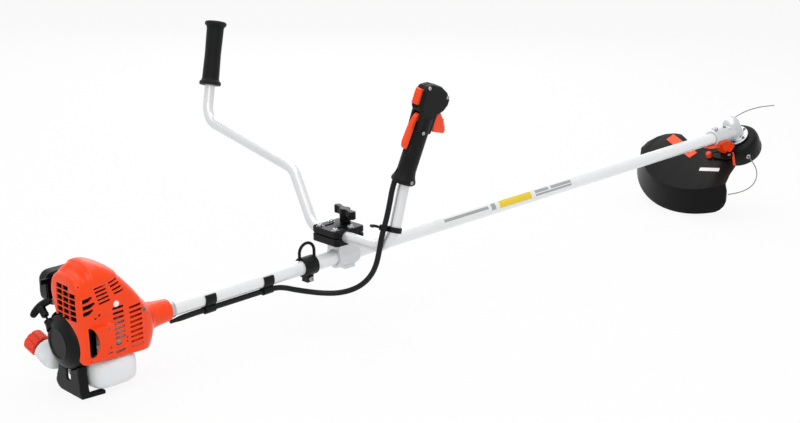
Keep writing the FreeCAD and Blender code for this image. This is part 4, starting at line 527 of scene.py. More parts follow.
class Form:
    """A mesh being made, in the millimetres of a place."""

    def __init__(self, place: Place) -> None:
        """Start an empty form in a place."""
        self.place = place
        self.mesh = bmesh.new()

    def ring(self, points: Iterable[Spot], place: Place | None = None) -> list[bmesh.types.BMVert]:
        """New vertices at points of a place, or of the form's own."""
        spot = place or self.place
        return [self.mesh.verts.new(spot.at(*point)) for point in points]

    def _skin(self, rings: Sequence[list]) -> None:
        """Faces between each ring and the next; a ring of one vertex is a pole."""
        for first, second in zip(rings, rings[1:]):
            sides = max(len(first), len(second))
            for i in range(sides if sides > 1 else 0):
                k = (i + 1) % sides
                if len(first) == 1:
                    self.mesh.faces.new((first[0], second[k], second[i]))
                elif len(second) == 1:
                    self.mesh.faces.new((first[i], first[k], second[0]))
                else:
                    self.mesh.faces.new((first[i], first[k], second[k], second[i]))

    def lathe(self, profile: Sequence[Point], steps: int = 64, place: Place | None = None,
              ring_shape: Callable[[int, float], float] | None = None) -> "Form":
        """Turn a profile about the z axis.

        Args:
            profile: Radius and height of each ring; a radius of 0 is a pole, and with no pole at
                either end the profile is a closed loop.
            steps: How many sides a turn has.
            place: The place to build in, or the form's own.
            ring_shape: What a ring's radius is multiplied by, from its index and angle.

        Returns:
            This form.
        """
        rings = []
        for index, (radius, height) in enumerate(profile):
            if radius < SAME_SPOT:
                rings.append(self.ring([(0.0, 0.0, height)], place))
                continue
            points = []
            for i in range(steps):
                angle = i * math.tau / steps
                reach = radius * (ring_shape(index, angle) if ring_shape else 1.0)
                points.append((reach * math.cos(angle), reach * math.sin(angle), height))
            rings.append(self.ring(points, place))
        self._skin(rings)
        if len(rings[0]) > 1 and len(rings[-1]) > 1:
            self._skin((rings[-1], rings[0]))
        return self

    def prism(
        self, outline: Sequence[Point], low: float, high: float, place: Place | None = None
    ) -> "Form":
        """An outline in x and y, drawn out along z from low to high."""
        bottom = self.ring([(u, v, low) for u, v in outline], place)
        top = self.ring([(u, v, high) for u, v in outline], place)
        self._skin((bottom, top))
        self.mesh.faces.new(bottom[::-1])
        self.mesh.faces.new(top)
        return self

    def loft(self, sections: Sequence[Sequence[Spot]], closed: bool = False) -> "Form":
        """A skin through sections that have the same number of points.

        Args:
            sections: The points of each section.
            closed: Whether each section closes on itself.

        Returns:
            This form.
        """
        rings = [self.ring(section) for section in sections]
        count = len(rings[0]) if closed else len(rings[0]) - 1
        for first, second in zip(rings, rings[1:]):
            for i in range(count):
                k = (i + 1) % len(first)
                self.mesh.faces.new((first[i], first[k], second[k], second[i]))
        return self

    def cushion(self, low: Spot, high: Spot, power: float, steps: int = 28) -> "Form":
        """A blown block: its faces bulge and its corners are well rounded.

        Args:
            low: Its low corner.
            high: Its high corner.
            power: How square it is; 2 is an ellipsoid.
            steps: How fine its mesh is.

        Returns:
            This form.
        """
        centre = [(a + b) / 2 for a, b in zip(low, high)]
        half = [(b - a) / 2 for a, b in zip(low, high)]

        def bulge(value: float) -> float:
            """A sine or cosine squared off by the power."""
            return math.copysign(abs(value) ** (2 / power), value)

        turns = [i * math.tau / (2 * steps) for i in range(2 * steps)]
        rings = []
        for j in range(steps + 1):
            rise = -math.pi / 2 + math.pi * j / steps
            if j in (0, steps):
                pole = centre[2] + half[2] * (1 if j else -1)
                rings.append(self.ring([(centre[0], centre[1], pole)]))
                continue
            rings.append(self.ring([
                (centre[0] + half[0] * bulge(math.cos(rise)) * bulge(math.cos(turn)),
                 centre[1] + half[1] * bulge(math.cos(rise)) * bulge(math.sin(turn)),
                 centre[2] + half[2] * bulge(math.sin(rise)))
                for turn in turns
            ]))
        self._skin(rings)
        return self

    def box(self, low: Spot, high: Spot, place: Place | None = None) -> "Form":
        """A block between two corners."""
        (x0, y0, z0), (x1, y1, z1) = low, high
        return self.prism([(x0, y0), (x1, y0), (x1, y1), (x0, y1)], z0, z1, place)

    def tube(self, line: Sequence[Vector], radius: float, sides: int = 16,
             taper: Callable[[float], float] | None = None) -> "Form":
        """A round bar along points given in metres of the object.

        Args:
            line: The points that it follows.
            radius: Its radius in millimetres.
            sides: How many sides it has.
            taper: What the radius is multiplied by, from the share of the length gone.

        Returns:
            This form.
        """
        heading = (line[1] - line[0]).normalized()
        side = heading.orthogonal().normalized()
        rings = []
        for i, point in enumerate(line):
            ahead = (line[min(i + 1, len(line) - 1)] - line[max(i - 1, 0)]).normalized()
            side = (side - ahead * side.dot(ahead)).normalized()
            other = ahead.cross(side)
            reach = radius * MM * (taper(i / (len(line) - 1)) if taper else 1.0)
            rings.append([
                self.mesh.verts.new(point + (side * math.cos(a) + other * math.sin(a)) * reach)
                for a in (k * math.tau / sides for k in range(sides))
            ])
        self._skin(rings)
        self.mesh.faces.new(rings[0][::-1])
        self.mesh.faces.new(rings[-1])
        return self

    def piece(self, name: str, body: str, finish: Finish, soften: float = 0.0, angle: float = 35.0,
              replaces: Sequence[str] = ()) -> bpy.types.Object:
        """Turn the form into a piece that rides on a body.

        Args:
            name: The piece's name.
            body: The body that it rides on.
            finish: Its surface.
            soften: The radius in millimetres that its edges are rounded to.
            angle: Edges sharper than this many degrees stay crisp.
            replaces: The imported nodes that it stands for.

        Returns:
            The new object.
        """
        piece = self.unplaced(name, finish, soften, angle)
        return attach(piece, body, finish.slot, *replaces)

    def unplaced(self, name: str, finish: Finish, soften: float = 0.0,
                 angle: float = 35.0) -> bpy.types.Object:
        """Turn the form into an object that rides on nothing yet; for the rest see `piece`."""
        bmesh.ops.recalc_face_normals(self.mesh, faces=self.mesh.faces)
        return shown(name, baked(name, self.mesh), finish, soften, angle)


def shown(name: str, data: bpy.types.Mesh, finish: Finish, soften: float = 0.0,
          angle: float = 35.0) -> bpy.types.Object:
    """Put a finished mesh into the scene; the arguments are those of `Form.piece`."""
    piece = add_object(name, data)
    data.materials.append(finish.material())
    data.shade_smooth()
    data.set_sharp_from_angle(angle=math.radians(angle))
    if soften:
        soften_edges(piece, soften)
    return piece


def soften_edges(piece: bpy.types.Object, width: float) -> None:
    """Round an object's crisp edges by a width in millimetres."""
    bevel = piece.modifiers.new("soft_edges", "BEVEL")
    bevel.width = width * MM
    bevel.segments = 3
    bevel.limit_method = "ANGLE"
    bevel.angle_limit = math.radians(SOFT_FROM)
    bevel.use_clamp_overlap = True
    bevel.harden_normals = True


def dress(finish: Finish, *nodes: str, soften: float = 0.0) -> None:
    """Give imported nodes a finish, and round their crisp edges by a width in millimetres."""
    for name in nodes:
        node = frame["nodes"][name]
        for entry in node.material_slots:
            entry.link = "OBJECT"
            entry.material = finish.material()
        if soften:
            weld = node.modifiers.new("weld", "WELD")
            weld.merge_threshold = SAME_SPOT
            soften_edges(node, soften)
        log.info("node %s dressed as %s", name, finish.name)


def melt(name: str, source: bmesh.types.BMesh, finish: Finish, voxel: float, passes: int = 4,
         place: Place | None = None, sculpt: Callable[[Vector], Vector] | None = None,
         keep: float = 1.0) -> bpy.types.Object:
    """Melt the solids of a mesh into one skin whose corners are a little round, as if moulded.

    Args:
        name: The piece's name.
        source: The solids, in metres of the object; it is freed.
        finish: Its surface.
        voxel: The mesh size in millimetres, which also sets how round the corners get.
        passes: How many times the surface is smoothed.
        place: The place that the sculpting works in.
        sculpt: Moves a point, in millimetres of the place.
        keep: The share of the faces that is kept.

    Returns:
        The new object, which rides on nothing yet.
    """
    bmesh.ops.remove_doubles(source, verts=source.verts, dist=SAME_SPOT)
    bmesh.ops.recalc_face_normals(source, faces=source.faces)
    draft = add_object(name + "_draft", baked(name + "_draft", source))
    remesh = draft.modifiers.new("voxels", "REMESH")
    remesh.mode = "VOXEL"
    remesh.voxel_size = voxel * MM
    relax = draft.modifiers.new("relax", "SMOOTH")
    relax.factor = 0.5
    relax.iterations = passes
    if keep < 1.0:
        thin = draft.modifiers.new("thin", "DECIMATE")
        thin.ratio = keep
    result = finished_mesh(draft)
    bpy.data.objects.remove(draft)
    if sculpt and place:
        for vertex in result.vertices:
            vertex.co = place.at(*sculpt(place.local(vertex.co)))
    return shown(name, result, finish, angle=60.0)


def remould(name: str, nodes: Sequence[str], body: str, finish: Finish, voxel: float,
            passes: int, keep: float) -> None:
    """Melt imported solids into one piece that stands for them; for the rest see `melt`.

    Args:
        name: The piece's name.
        nodes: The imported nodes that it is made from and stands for.
        body: The body that it rides on.
    """
    source = bmesh.new()
    for node in nodes:
        source.from_mesh(frame["nodes"][node].data)
    piece = melt(name, source, finish, voxel, passes, keep=keep)
    attach(piece, body, finish.slot, *nodes)


def carve(piece: bpy.types.Object, tools: Form) -> None:
    """Cut the solids of a form out of a piece, for good."""
    cutter = tools.unplaced(piece.name + "_tools", COVER_ABS)
    cut = piece.modifiers.new("cut", "BOOLEAN")
    cut.operation = "DIFFERENCE"
    cut.solver = "EXACT"
    cut.object = cutter
    result = finished_mesh(piece)
    piece.modifiers.clear()
    piece.data = result
    bpy.data.objects.remove(cutter)
    result.shade_smooth()
    result.set_sharp_from_angle(angle=math.radians(CRISP_FROM))


def smooth_line(route: Sequence[Vector]) -> list[Vector]:
    """Points along the smooth curve whose control points are a route's.

    Args:
        route: The route's points in metres.

    Returns:
        Closely spaced points of the curve.
    """
    data = bpy.data.curves.new("route", "CURVE")
    data.dimensions = "3D"
    data.resolution_u = 8
    spline_through(data, route)
    holder = bpy.data.objects.new("route", data)
    mesh = bpy.data.meshes.new_from_object(holder)
    line = [vertex.co.copy() for vertex in mesh.vertices]
    bpy.data.objects.remove(holder)
    bpy.data.meshes.remove(mesh)
    return line


def spline_through(data: bpy.types.Curve, route: Sequence[Vector]) -> None:
    """Give a curve one smooth open spline with a route's points as its control points."""
    spline = data.splines.new("NURBS")
    spline.points.add(len(route) - 1)
    for point, spot in zip(spline.points, route):
        point.co = (*spot, 1.0)
    spline.order_u = 3
    spline.use_endpoint_u = True


@dataclass(frozen=True)
class Screw:
    """A kind of screw: its head's size and recess, its surface, and how far its shank goes in."""

    radius: float
    height: float
    drive: Drive = Drive.HEX
    finish: Finish = ZINC
    shank: float = 0.0
    cross_arm: float = 0.28

    def build(self, name: str, place: Place, body: str, *nodes: str) -> None:
        """Make one screw.

        Args:
            name: The piece's name.
            place: Its head stands on the place's origin and faces along its z axis.
            body: The body that it rides on.
            nodes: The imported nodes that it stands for.
        """
        radius, height = self.radius, self.height
        core, recess = radius * 0.5, radius * 0.52
        profile = [
            (0.0, -self.shank), (core, -self.shank), (core, 0.0), (radius, 0.0),
            (radius, height * 0.75), (radius * 0.86, height), (recess, height),
            (recess, height * 0.45), (0.0, height * 0.4),
        ]
        form = Form(place).lathe(profile, 48, ring_shape=self._recess)
        form.piece(name, body, self.finish, replaces=nodes)

    def build_all(self, name: str, places: Iterable[Place], body: str, *nodes: str) -> None:
        """Make screws that are numbered from 0; the arguments are those of `build`."""
        for index, place in enumerate(places):
            self.build(f"{name}_{index}", place, body, *nodes)

    def _recess(self, index: int, angle: float) -> float:
        """The recess's outline on the inner rings, and a round head outside."""
        if index < 6:
            return 1.0
        if self.drive is Drive.HEX:
            return math.cos(math.pi / 6) / math.cos(angle % (math.pi / 3) - math.pi / 6)
        across, along = abs(math.cos(angle)) + SAME_SPOT, abs(math.sin(angle)) + SAME_SPOT
        arm = self.cross_arm
        return max(min(1 / across, arm / along), min(arm / across, 1 / along))


def patch(
    name: str, place: Place, body: str, finish: Finish, radius: float, start: float, length: float,
    low: float, high: float
) -> bpy.types.Object:
    """A film stuck round a tube that runs along the place's x axis.

    Args:
        name: The piece's name.
        place: A place with its x axis along the tube's axis.
        body: The body that it rides on.
        finish: Its surface.
        radius: The film's radius.
        start: Where it starts along x.
        length: Its length along x.
        low: The angle of its lower edge from y towards z, in degrees.
        high: The angle of its upper edge.

    Returns:
        The new object.
    """
    form = Form(place)
    steps = 14
    rings = []
    for reach in (radius, radius - 0.12):
        rings.append([
            form.ring([
                (x, reach * math.cos(a), reach * math.sin(a))
                for a in (math.radians(low + (high - low) * k / steps) for k in range(steps + 1))
            ])
            for x in (start, start + length)
        ])
    (near, far), (near_in, far_in) = rings
    for k in range(steps):
        form.mesh.faces.new((near[k], near[k + 1], far[k + 1], far[k]))
    for first, second in ((near, near_in), (far_in, far)):
        for k in range(steps):
            form.mesh.faces.new((first[k], second[k], second[k + 1], first[k + 1]))
    for k in (0, steps):
        form.mesh.faces.new((near[k], far[k], far_in[k], near_in[k]))
    return form.piece(name, body, finish, angle=60)


# ------------------------------------------------------------------ camera, light and floor


@dataclass(frozen=True)
class Lamp:
    """A square soft lamp: where it hangs and looks, its side in metres and its power in watts."""

    name: str
    place: Spot
    target: Spot
    size: float
    power: float

    def build(self) -> None:
        """Hang the lamp."""
        data = bpy.data.lights.new(self.name, "AREA")
        data.size = self.size
        data.energy = self.power
        lamp = add_object(self.name, data)
        lamp.location = self.place
        heading = Vector(self.target) - Vector(self.place)
        lamp.rotation_euler = heading.to_track_quat("-Z", "Y").to_euler()


@dataclass(frozen=True)
class Studio:
    """The camera, the soft lamps and the pale floor, in metres and degrees."""

    camera_at: Spot = (-0.9805, -1.6568, 0.7758)
    heading: float = 45.47
    dip: float = 14.66
    roll: float = 1.715
    lens: float = 61.23
    floor_size: float = 60.0
    floor_at: Spot = (0.9, 0.0, -0.0005)
    floor_glow: float = 0.88
    sky: float = 0.55
    lamps: tuple[Lamp, ...] = (
        Lamp("key_panel", (-1.4, -2.2, 2.9), (0.7, 0.0, 0.2), 2.6, 46),
        Lamp("top_panel", (0.9, 0.6, 3.2), (0.9, 0.0, 0.0), 3.0, 41),
        Lamp("rim_panel", (2.6, 2.4, 1.8), (0.9, 0.0, 0.3), 2.0, 22),
    )

    def build(self) -> None:
        """Make the camera, the lamps, the sky and the floor."""
        self._camera()
        for lamp in self.lamps:
            lamp.build()
        self._sky()
        self._floor()
        bpy.context.scene.view_settings.view_transform = "Standard"

    def _camera(self) -> None:
        """The camera, which looks along the heading, dips and rolls."""
        data = bpy.data.cameras.new("camera")
        data.lens = self.lens
        data.clip_end = 100
        camera = add_object("camera", data)
        camera.location = self.camera_at
        turn, fall = math.radians(self.heading), math.radians(self.dip)
        level = math.cos(fall)
        ahead = Vector((math.cos(turn) * level, math.sin(turn) * level, -math.sin(fall)))
        tilt = Matrix.Rotation(math.radians(self.roll), 3, "Z").to_quaternion()
        camera.rotation_mode = "QUATERNION"
        camera.rotation_quaternion = ahead.to_track_quat("-Z", "Y") @ tilt
        bpy.context.scene.camera = camera

    def _sky(self) -> None:
        """A white background, and a softer white that lights the object."""
        world = bpy.data.worlds.new("studio")
        bpy.context.scene.world = world
        tree = empty_tree(world)
        seen = self._seen(tree)
        strength = add_node(
            tree, "ShaderNodeMapRange", {"To Min": self.sky, "To Max": 1.0}, {"Value": seen}
        )
        glow = add_node(
            tree, "ShaderNodeBackground", {"Color": WHITE}, {"Strength": strength.outputs[0]}
        )
        add_node(tree, "ShaderNodeOutputWorld", links={"Surface": glow.outputs[0]})

    def _seen(self, tree: bpy.types.NodeTree) -> bpy.types.NodeSocket:
        """1 for rays that show the background: straight, through glass, or in a gloss."""
        path = add_node(tree, "ShaderNodeLightPath").outputs
        seen = path["Is Camera Ray"]
        for kind in ("Is Glossy Ray", "Is Transmission Ray"):
            seen = add_node(
                tree, "ShaderNodeMath", links={0: seen, 1: path[kind]}, operation="MAXIMUM"
            ).outputs[0]
        return seen

    def _floor(self) -> None:
        """A pale floor that is seen as white and keeps the shadow."""
        mesh = bmesh.new()
        bmesh.ops.create_grid(mesh, x_segments=1, y_segments=1, size=self.floor_size / 2)
        floor = add_object("floor", baked("floor", mesh))
        floor.location = self.floor_at
        made = bpy.data.materials.new("matt_white_floor_paint")
        tree = empty_tree(made)
        paint = add_node(tree, "ShaderNodeBsdfDiffuse", {"Color": linear("#F2F2F2")})
        glow = add_node(tree, "ShaderNodeEmission", {"Color": WHITE, "Strength": 1.0})
        share = add_node(
            tree, "ShaderNodeMath", {1: self.floor_glow}, {0: self._seen(tree)},
            operation="MULTIPLY"
        )
        mixed = add_node(
            tree, "ShaderNodeMixShader",
            links={0: share.outputs[0], 1: paint.outputs[0], 2: glow.outputs[0]}
        )
        add_node(tree, "ShaderNodeOutputMaterial", links={"Surface": mixed.outputs[0]})
        floor.data.materials.append(made)


# ------------------------------------------------------------------ cords


@dataclass(frozen=True)
class CuttingLines:
    """Two free ends of nylon line that leave the spinning head; routes are in the head's place."""

    radius: float = 1.2
    route_a: tuple[Spot, ...] = (
        (-27.5, 39.3, 45), (-36, 51, 45), (-48, 59, 45), (-63, 62, 45), (-78, 59, 45.5),
        (-92, 52, 46), (-106, 42, 46.5), (-117, 30, 47), (-126, 16, 47), (-133, 0, 47),
        (-138, -17, 46)
    )
    route_b: tuple[Spot, ...] = (
        (27.5, -39.3, 45), (37, -53, 45), (49, -68, 45), (62, -80, 45.5), (76, -88, 46),
        (91, -92, 46.5), (106, -91, 47), (118, -85, 47), (128, -76, 47), (137, -64, 46.5),
        (144, -51, 46)
    )
    length_a: float = 159.8
    length_b: float = 156.3

    def build(self, head: Place) -> None:
        """Lay both lines in the head's place."""
        for name, route, length in (("cutting_line_a", self.route_a, self.length_a),
                                    ("cutting_line_b", self.route_b, self.length_b)):
            points = [head.at(*spot) for spot in route]
            data = bpy.data.curves.new(name, "CURVE")
            data.dimensions = "3D"
            data.resolution_u = 8
            data.bevel_depth = self.radius * MM
            data.bevel_resolution = 4
            data.use_fill_caps = True
            spline_through(data, points)
            data.materials.append(LINE_NYLON.material())
            piece = attach(
                add_object(name, data), "cutting_head", LINE_NYLON.slot, "cutting_lines"
            )
            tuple(points[0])


@dataclass(frozen=True)
class ThrottleCable:
    """The sheathed cable from the engine along the tube and up to the throttle grip.

    The route is in the shaft's place; `loose_from` and `loose_to` mark its loose run, and `tip` is
    the share of its thickness where it leaves the engine.
    """

    radius: float = 4.6
    tip: float = 0.6
    tip_share: float = 0.02
    length: float = 569.2
    route: tuple[Spot, ...] = (
        (-9.5, -6, -18.8), (24, -6, -16.95), (58, -6, -16.95), (169, -6, -16.95), (190, -6, -16.95),
        (211, -8, -20), (234, -12.5, -29.5), (255, -20, -36.5), (275, -34, -41), (292, -52, -41),
        (306, -71, -34.5), (315.5, -89, -22), (321, -104, -4), (322.7, -115, 17),
        (323.8, -121.5, 42), (326.4, -124.8, 67), (335.6, -126.6, 93), (343.6, -127.4, 121),
        (350.5, -126.6, 144.4), (357.2, -130.1, 166.1)
    )
    loose_from: int = 6
    loose_to: int = 13

    def build(self, shaft: Place) -> None:
        """Lay the cable in the shaft's place."""
        points = [shaft.at(*spot) for spot in self.route]
        line = smooth_line(points)
        form = Form(shaft).tube(line, self.radius, 20, taper=self._taper)
        piece = form.unplaced("throttle_cable_sheath", SHEATH_PVC)
        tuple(points[self.loose_from])
        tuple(points[self.loose_to])
        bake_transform(piece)
        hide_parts("throttle_cable")
        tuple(points[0])
        log.info("cord %s bends from machine to handlebar_set", piece.name)

    def _taper(self, share: float) -> float:
        """The share of the full thickness along the cable, which leaves the engine thinner."""
        return self.tip + (1 - self.tip) * smooth_step(share / self.tip_share)


# ------------------------------------------------------------------ sub-assemblies


def along(line: Sequence[Point], x: float) -> float:
    """The height of a smooth line through points at a place along it.

    Args:
        line: The points, from low x to high x.
        x: Where to read it.

    Returns:
        The height there.
    """
    if x <= line[0][0]:
        return line[0][1]
    if x >= line[-1][0]:
        return line[-1][1]
    i = next(k for k in range(len(line) - 1) if x <= line[k + 1][0])
    (x0, y0), (x1, y1) = line[i], line[i + 1]

    def slope(k: int) -> float:
        """The line's slope at one of its points."""
        a, b = line[max(k - 1, 0)], line[min(k + 1, len(line) - 1)]
        return (b[1] - a[1]) / (b[0] - a[0])

    span = x1 - x0
    t = (x - x0) / span
    s = 1 - t
    return (y0 * s * s * (1 + 2 * t) + y1 * t * t * (3 - 2 * t)
            + slope(i) * span * t * s * s - slope(i + 1) * span * t * t * s)


def respaced(points: Sequence[Point], count: int) -> list[Point]:
    """Evenly spaced points along an open line."""
    spots = [Vector(point) for point in points]
    reach = [0.0]
    for a, b in zip(spots, spots[1:]):
        reach.append(reach[-1] + (b - a).length)
    made = []
    k = 0
    for i in range(count):
        goal = reach[-1] * i / (count - 1)
        while k < len(reach) - 2 and reach[k + 1] < goal:
            k += 1
        share = (goal - reach[k]) / max(reach[k + 1] - reach[k], 1e-9)
        spot = spots[k].lerp(spots[k + 1], min(share, 1.0))
        made.append((spot.x, spot.y))
    return made


def oblong(x: float, z: float, width: float, height: float, rise: float = 0.0,
           radius: float = 1.2) -> list[Point]:
    """A slot's outline from its left end: rounded corners, and its right end higher by a rise."""
    right = x + width
    return rounded(
        [(x, z), (right, z + rise), (right, z + rise + height), (x, z + height)], radius, 3
    )


@dataclass(frozen=True)
class Slots:
    """Slots in a row: the first one's left end, their size, and the step from each to the next."""

    first: Point
    width: float
    height: float
    rise: float
    count: int = 1
    step: Point = (0.0, 0.0)
    radius: float = 1.2
    inner: float = 38.0
    outer: float = 60.0

    def add_tools(self, form: Form, side: Place) -> None:
        """Add the bars that cut the slots to a form, in a place that faces out of the wall."""
        for k in range(self.count):
            x, z = self.first[0] + self.step[0] * k, self.first[1] + self.step[1] * k
            outline = oblong(x, z, self.width, self.height, self.rise, self.radius)
            form.prism(outline, self.inner, self.outer, side)


@dataclass(frozen=True)
class EngineCover:
    """The vented cover over the engine's right side, top and back, flared into the neck.

    The lines give a height over the shaft's x, and what is cut through the right wall is given by x
    and height. The relief's swells are each a height in millimetres over a soft-edged area.
    """

    wall: float = 2.2
    right: float = -48.0
    left: float = 25.6
    left_drop: float = 28.0
    round_right: float = 34.0
    round_left: float = 27.0
    top_line: Outline = (
        (-187, 97), (-180, 107), (-171, 114), (-160, 117), (-148, 116.4), (-135, 111.2),
        (-122, 103), (-110, 92), (-100, 81), (-90, 69), (-82, 59), (-74, 50), (-62, 41), (-38, 30)
    )
    low_line: Outline = (
        (-187, -24), (-150, -26), (-110, -27.5), (-76, -28.5), (-38, -26)
    )
    neck_line: Outline = (
        (-90, 44.5), (-82, 44.5), (-74, 41), (-66, 37.5), (-58, 30), (-52, 25), (-46, 22),
        (-38, 20.6)
    )
    neck_from: float = -87.0
    neck_span: float = 43.0
    rear: float = -181.0
    rim_round: float = 8.0
    front: float = -38.0
    hub: Point = (-5.0, 10.0)
    around: int = 110
    starter_radius: float = 43.4
    window: Outline = (
        (-176.5, 31), (-171, 29), (-165, 19), (-162, 6), (-165, -6), (-170, -14), (-176.5, -15),
    )
    slots: tuple[Slots, ...] = (
        Slots((-108, -19), 22, 3.9, 0.8, 9, (0, 7.6)),
        Slots((-135, 1.2), 18.5, 4.1, 0.6, 7, (0, 7.6)),
        Slots((-135.5, -20.5), 18, 4.2, 0.6),
        Slots((-115.5, -8), 3.2, 3.0, 0.2, 2, (0, 6.5), 0.9),
        Slots((-150, -15), 7, 3.0, 0.2, radius=0.9),
        Slots((-147, -7.5), 3.4, 3.0, 0.2, radius=0.9),
        Slots((-148, 22), 3, 3.0, 0.2, radius=0.9),
        Slots((-165.5, 40), 4.5, 3.4, 1.0, radius=0.9, inner=36),
        Slots((-159, 43.5), 4.5, 3.4, 1.0, radius=0.9, inner=36),
    )
    louvres: tuple[Slots, ...] = (
        Slots((-162, 84), 19, 3.3, 2.4, 5, (1.5, -5.9), inner=30),
        Slots((-137.5, 87), 17, 3.3, 2.4, 4, (2.5, -5.9), inner=30),
    )
    hole: Point = (-128.5, -4.5)
    hole_radius: float = 5.0
    gill_reaches: tuple[float, ...] = (17.0, 21.0, 17.0)
    gill_step: float = 9.4
    grid_rows: int = 6
    grid_columns: int = 3
    grid_corner: Point = (41.0, -41.5)
    grid_step: Point = (8.6, 16.3)
    grid_cell: Point = (7.5, 15.4)
    # painted shade: dark boxes inside the cover, behind the grid, the gills and the exhaust's window
    painted_shade_boxes: tuple[tuple[Spot, Spot], ...] = (
        ((-184.2, -43, 44), (-183, 23, 94)),
        ((-182, -42.6, 44), (-150, -41.4, 80)),
        ((-178, -37, -18), (-158, -36, 32)),
    )

    def build(self, shaft: Place) -> None:
        """Make the shell, cut its vents and add what is fixed to it."""
        form = Form(shaft).loft(self._sections())
        shell = form.unplaced("engine_cover_shell", COVER_ABS)
        thick = shell.modifiers.new("wall", "SOLIDIFY")
        thick.thickness = self.wall * MM
        thick.offset = -1.0
        carve(shell, self._openings(shaft))
        carve(shell, self._vents(shaft))
        attach(shell, "machine", COVER_ABS.slot, "engine_cover")
        dress(COVER_ABS, "fan_case", soften=0.8)
        self._film(shaft)
        # painted shade: black boxes stand in for the shade inside the cover
        shade = Form(shaft)
        for low, high in self.painted_shade_boxes:
            shade.box(low, high)
        shade.piece("cover_shade", "machine", PAINTED_SHADE)
        side = shaft.turned(90, "x")
        spots = ((-169.5, 40, 46.5), (-165.5, -18.5, 47.5), (-82, 34, 47.6))
        places = [side.moved(*spot) for spot in spots]
        Screw(3.0, 1.6, finish=STEEL).build_all("cover_screw", places, "machine")

    def _sections(self) -> list[list[Spot]]:
        """The skin's sections, from the middle of its rear wall to the neck."""
        first = self._section(self.rear)
        cap = []
        for share in (0.02, 0.25, 0.45, 0.62, 0.76, 0.87, 0.94):
            bulge = -3.0 * (1 - share ** 2)
            cap.append([self._inwards(point, self.rim_round, share, bulge) for point in first])
        for step in range(5, 0, -1):
            turn = math.radians(90 * step / 5)
            back, inset = self.rim_round * math.sin(turn), self.rim_round * (1 - math.cos(turn))
            cap.append([self._inwards((x - back, y, z), inset) for x, y, z in first])
        count = 92
        span = self.front - self.rear
        return cap + [self._section(self.rear + span * i / count) for i in range(count + 1)]

    def _inwards(self, point: Spot, inset: float, share: float = 1.0, bulge: float = 0.0) -> Spot:
        """A rim point carried towards the hub; a share below 1 puts it on the rear wall."""
        x, y, z = point
        arm = Vector((self.hub[0] - y, self.hub[1] - z))
        spot = Vector((y, z)) + arm.normalized() * inset
        if share < 1.0:
            spot = Vector(self.hub).lerp(spot, share)
            x = self.rear - self.rim_round + bulge
        return x, spot.x, spot.y

    def _section(self, x: float) -> list[Spot]:
        """One section: up the right side, over the crown and a little way down the left."""
        top, low = along(self.top_line, x), along(self.low_line, x)
        height = top - low
        left_low = top - self.left_drop
        bends = [(self.right, low), (self.right, top), (self.left, top), (self.left, left_low)]
        path = [bends[0]]
        for k, radius in ((1, min(self.round_right, height * 0.45)), (2, self.round_left)):
            corner = Vector(bends[k])
            start = corner + (Vector(bends[k - 1]) - corner).normalized() * radius
            end = corner + (Vector(bends[k + 1]) - corner).normalized() * radius
            for i in range(13):
                t = i / 12
                spot = start * (1 - t) ** 2 + corner * (2 * t * (1 - t)) + end * t ** 2
                path.append((spot.x, spot.y))
        path.append(bends[3])
        path = respaced(path, self.around)
        share = smooth_step((x - self.neck_from) / self.neck_span)
        radius = along(self.neck_line, x)
        made = []
        for i, (y, z) in enumerate(path):
            before, after = path[max(i - 1, 0)], path[min(i + 1, self.around - 1)]
            run = Vector((after[0] - before[0], after[1] - before[1])).normalized()
            lift = self._relief(x, y, z, run.y) * (1 - share)
            turn = math.radians(238 - 225 * i / (self.around - 1))
            made.append((
                x,
                (y - run.y * lift) * (1 - share) + radius * math.cos(turn) * share,
                (z + run.x * lift) * (1 - share) + radius * math.sin(turn) * share,
            ))
        return made

    def _relief(self, x: float, y: float, z: float, steep: float) -> float:
        """How far the skin stands proud at a point, in millimetres."""
        wall = max(steep, 0.0)
        belly = 1.8 * between(x, -200, -60, 50) * between(z, -40, 90, 45) * wall
        crown = 2.4 * between(x, -166, -96, 5) * between(y, -90, 22, 8)
        crown *= smooth_step((z - 86 - 0.12 * (x + 150)) / 5)
        dip = 0.0
        if y < 2:
            dip = 3.4 * between(x, -181, -166, 7) * between(z, 80, 130, 10) * between(y, -90, 6, 14)
        pod = 6.0 * between(x, -177, -135, 2.6) * between(z, -22.5, 31, 1.6) * wall
        waist = 2.0 * between(x, -163, -134, 6) * between(z, 33, 46, 6) * wall
        panel = 0.9 * between(x, -110, -84, 2) * between(z, -40, 50, 2) * wall
        return belly + crown - dip + pod - waist + panel

    def _openings(self, shaft: Place) -> Form:
        """The round hole for the starter and the exhaust's window."""
        tools = Form(shaft)
        reach = self.starter_radius
        tools.lathe([(0, 150), (reach, 150), (reach, 205), (0, 205)], 96, shaft.facing(-1, 0, 0))
        return tools.prism(rounded(self.window, 3, 4), 35, 62, shaft.turned(90, "x"))

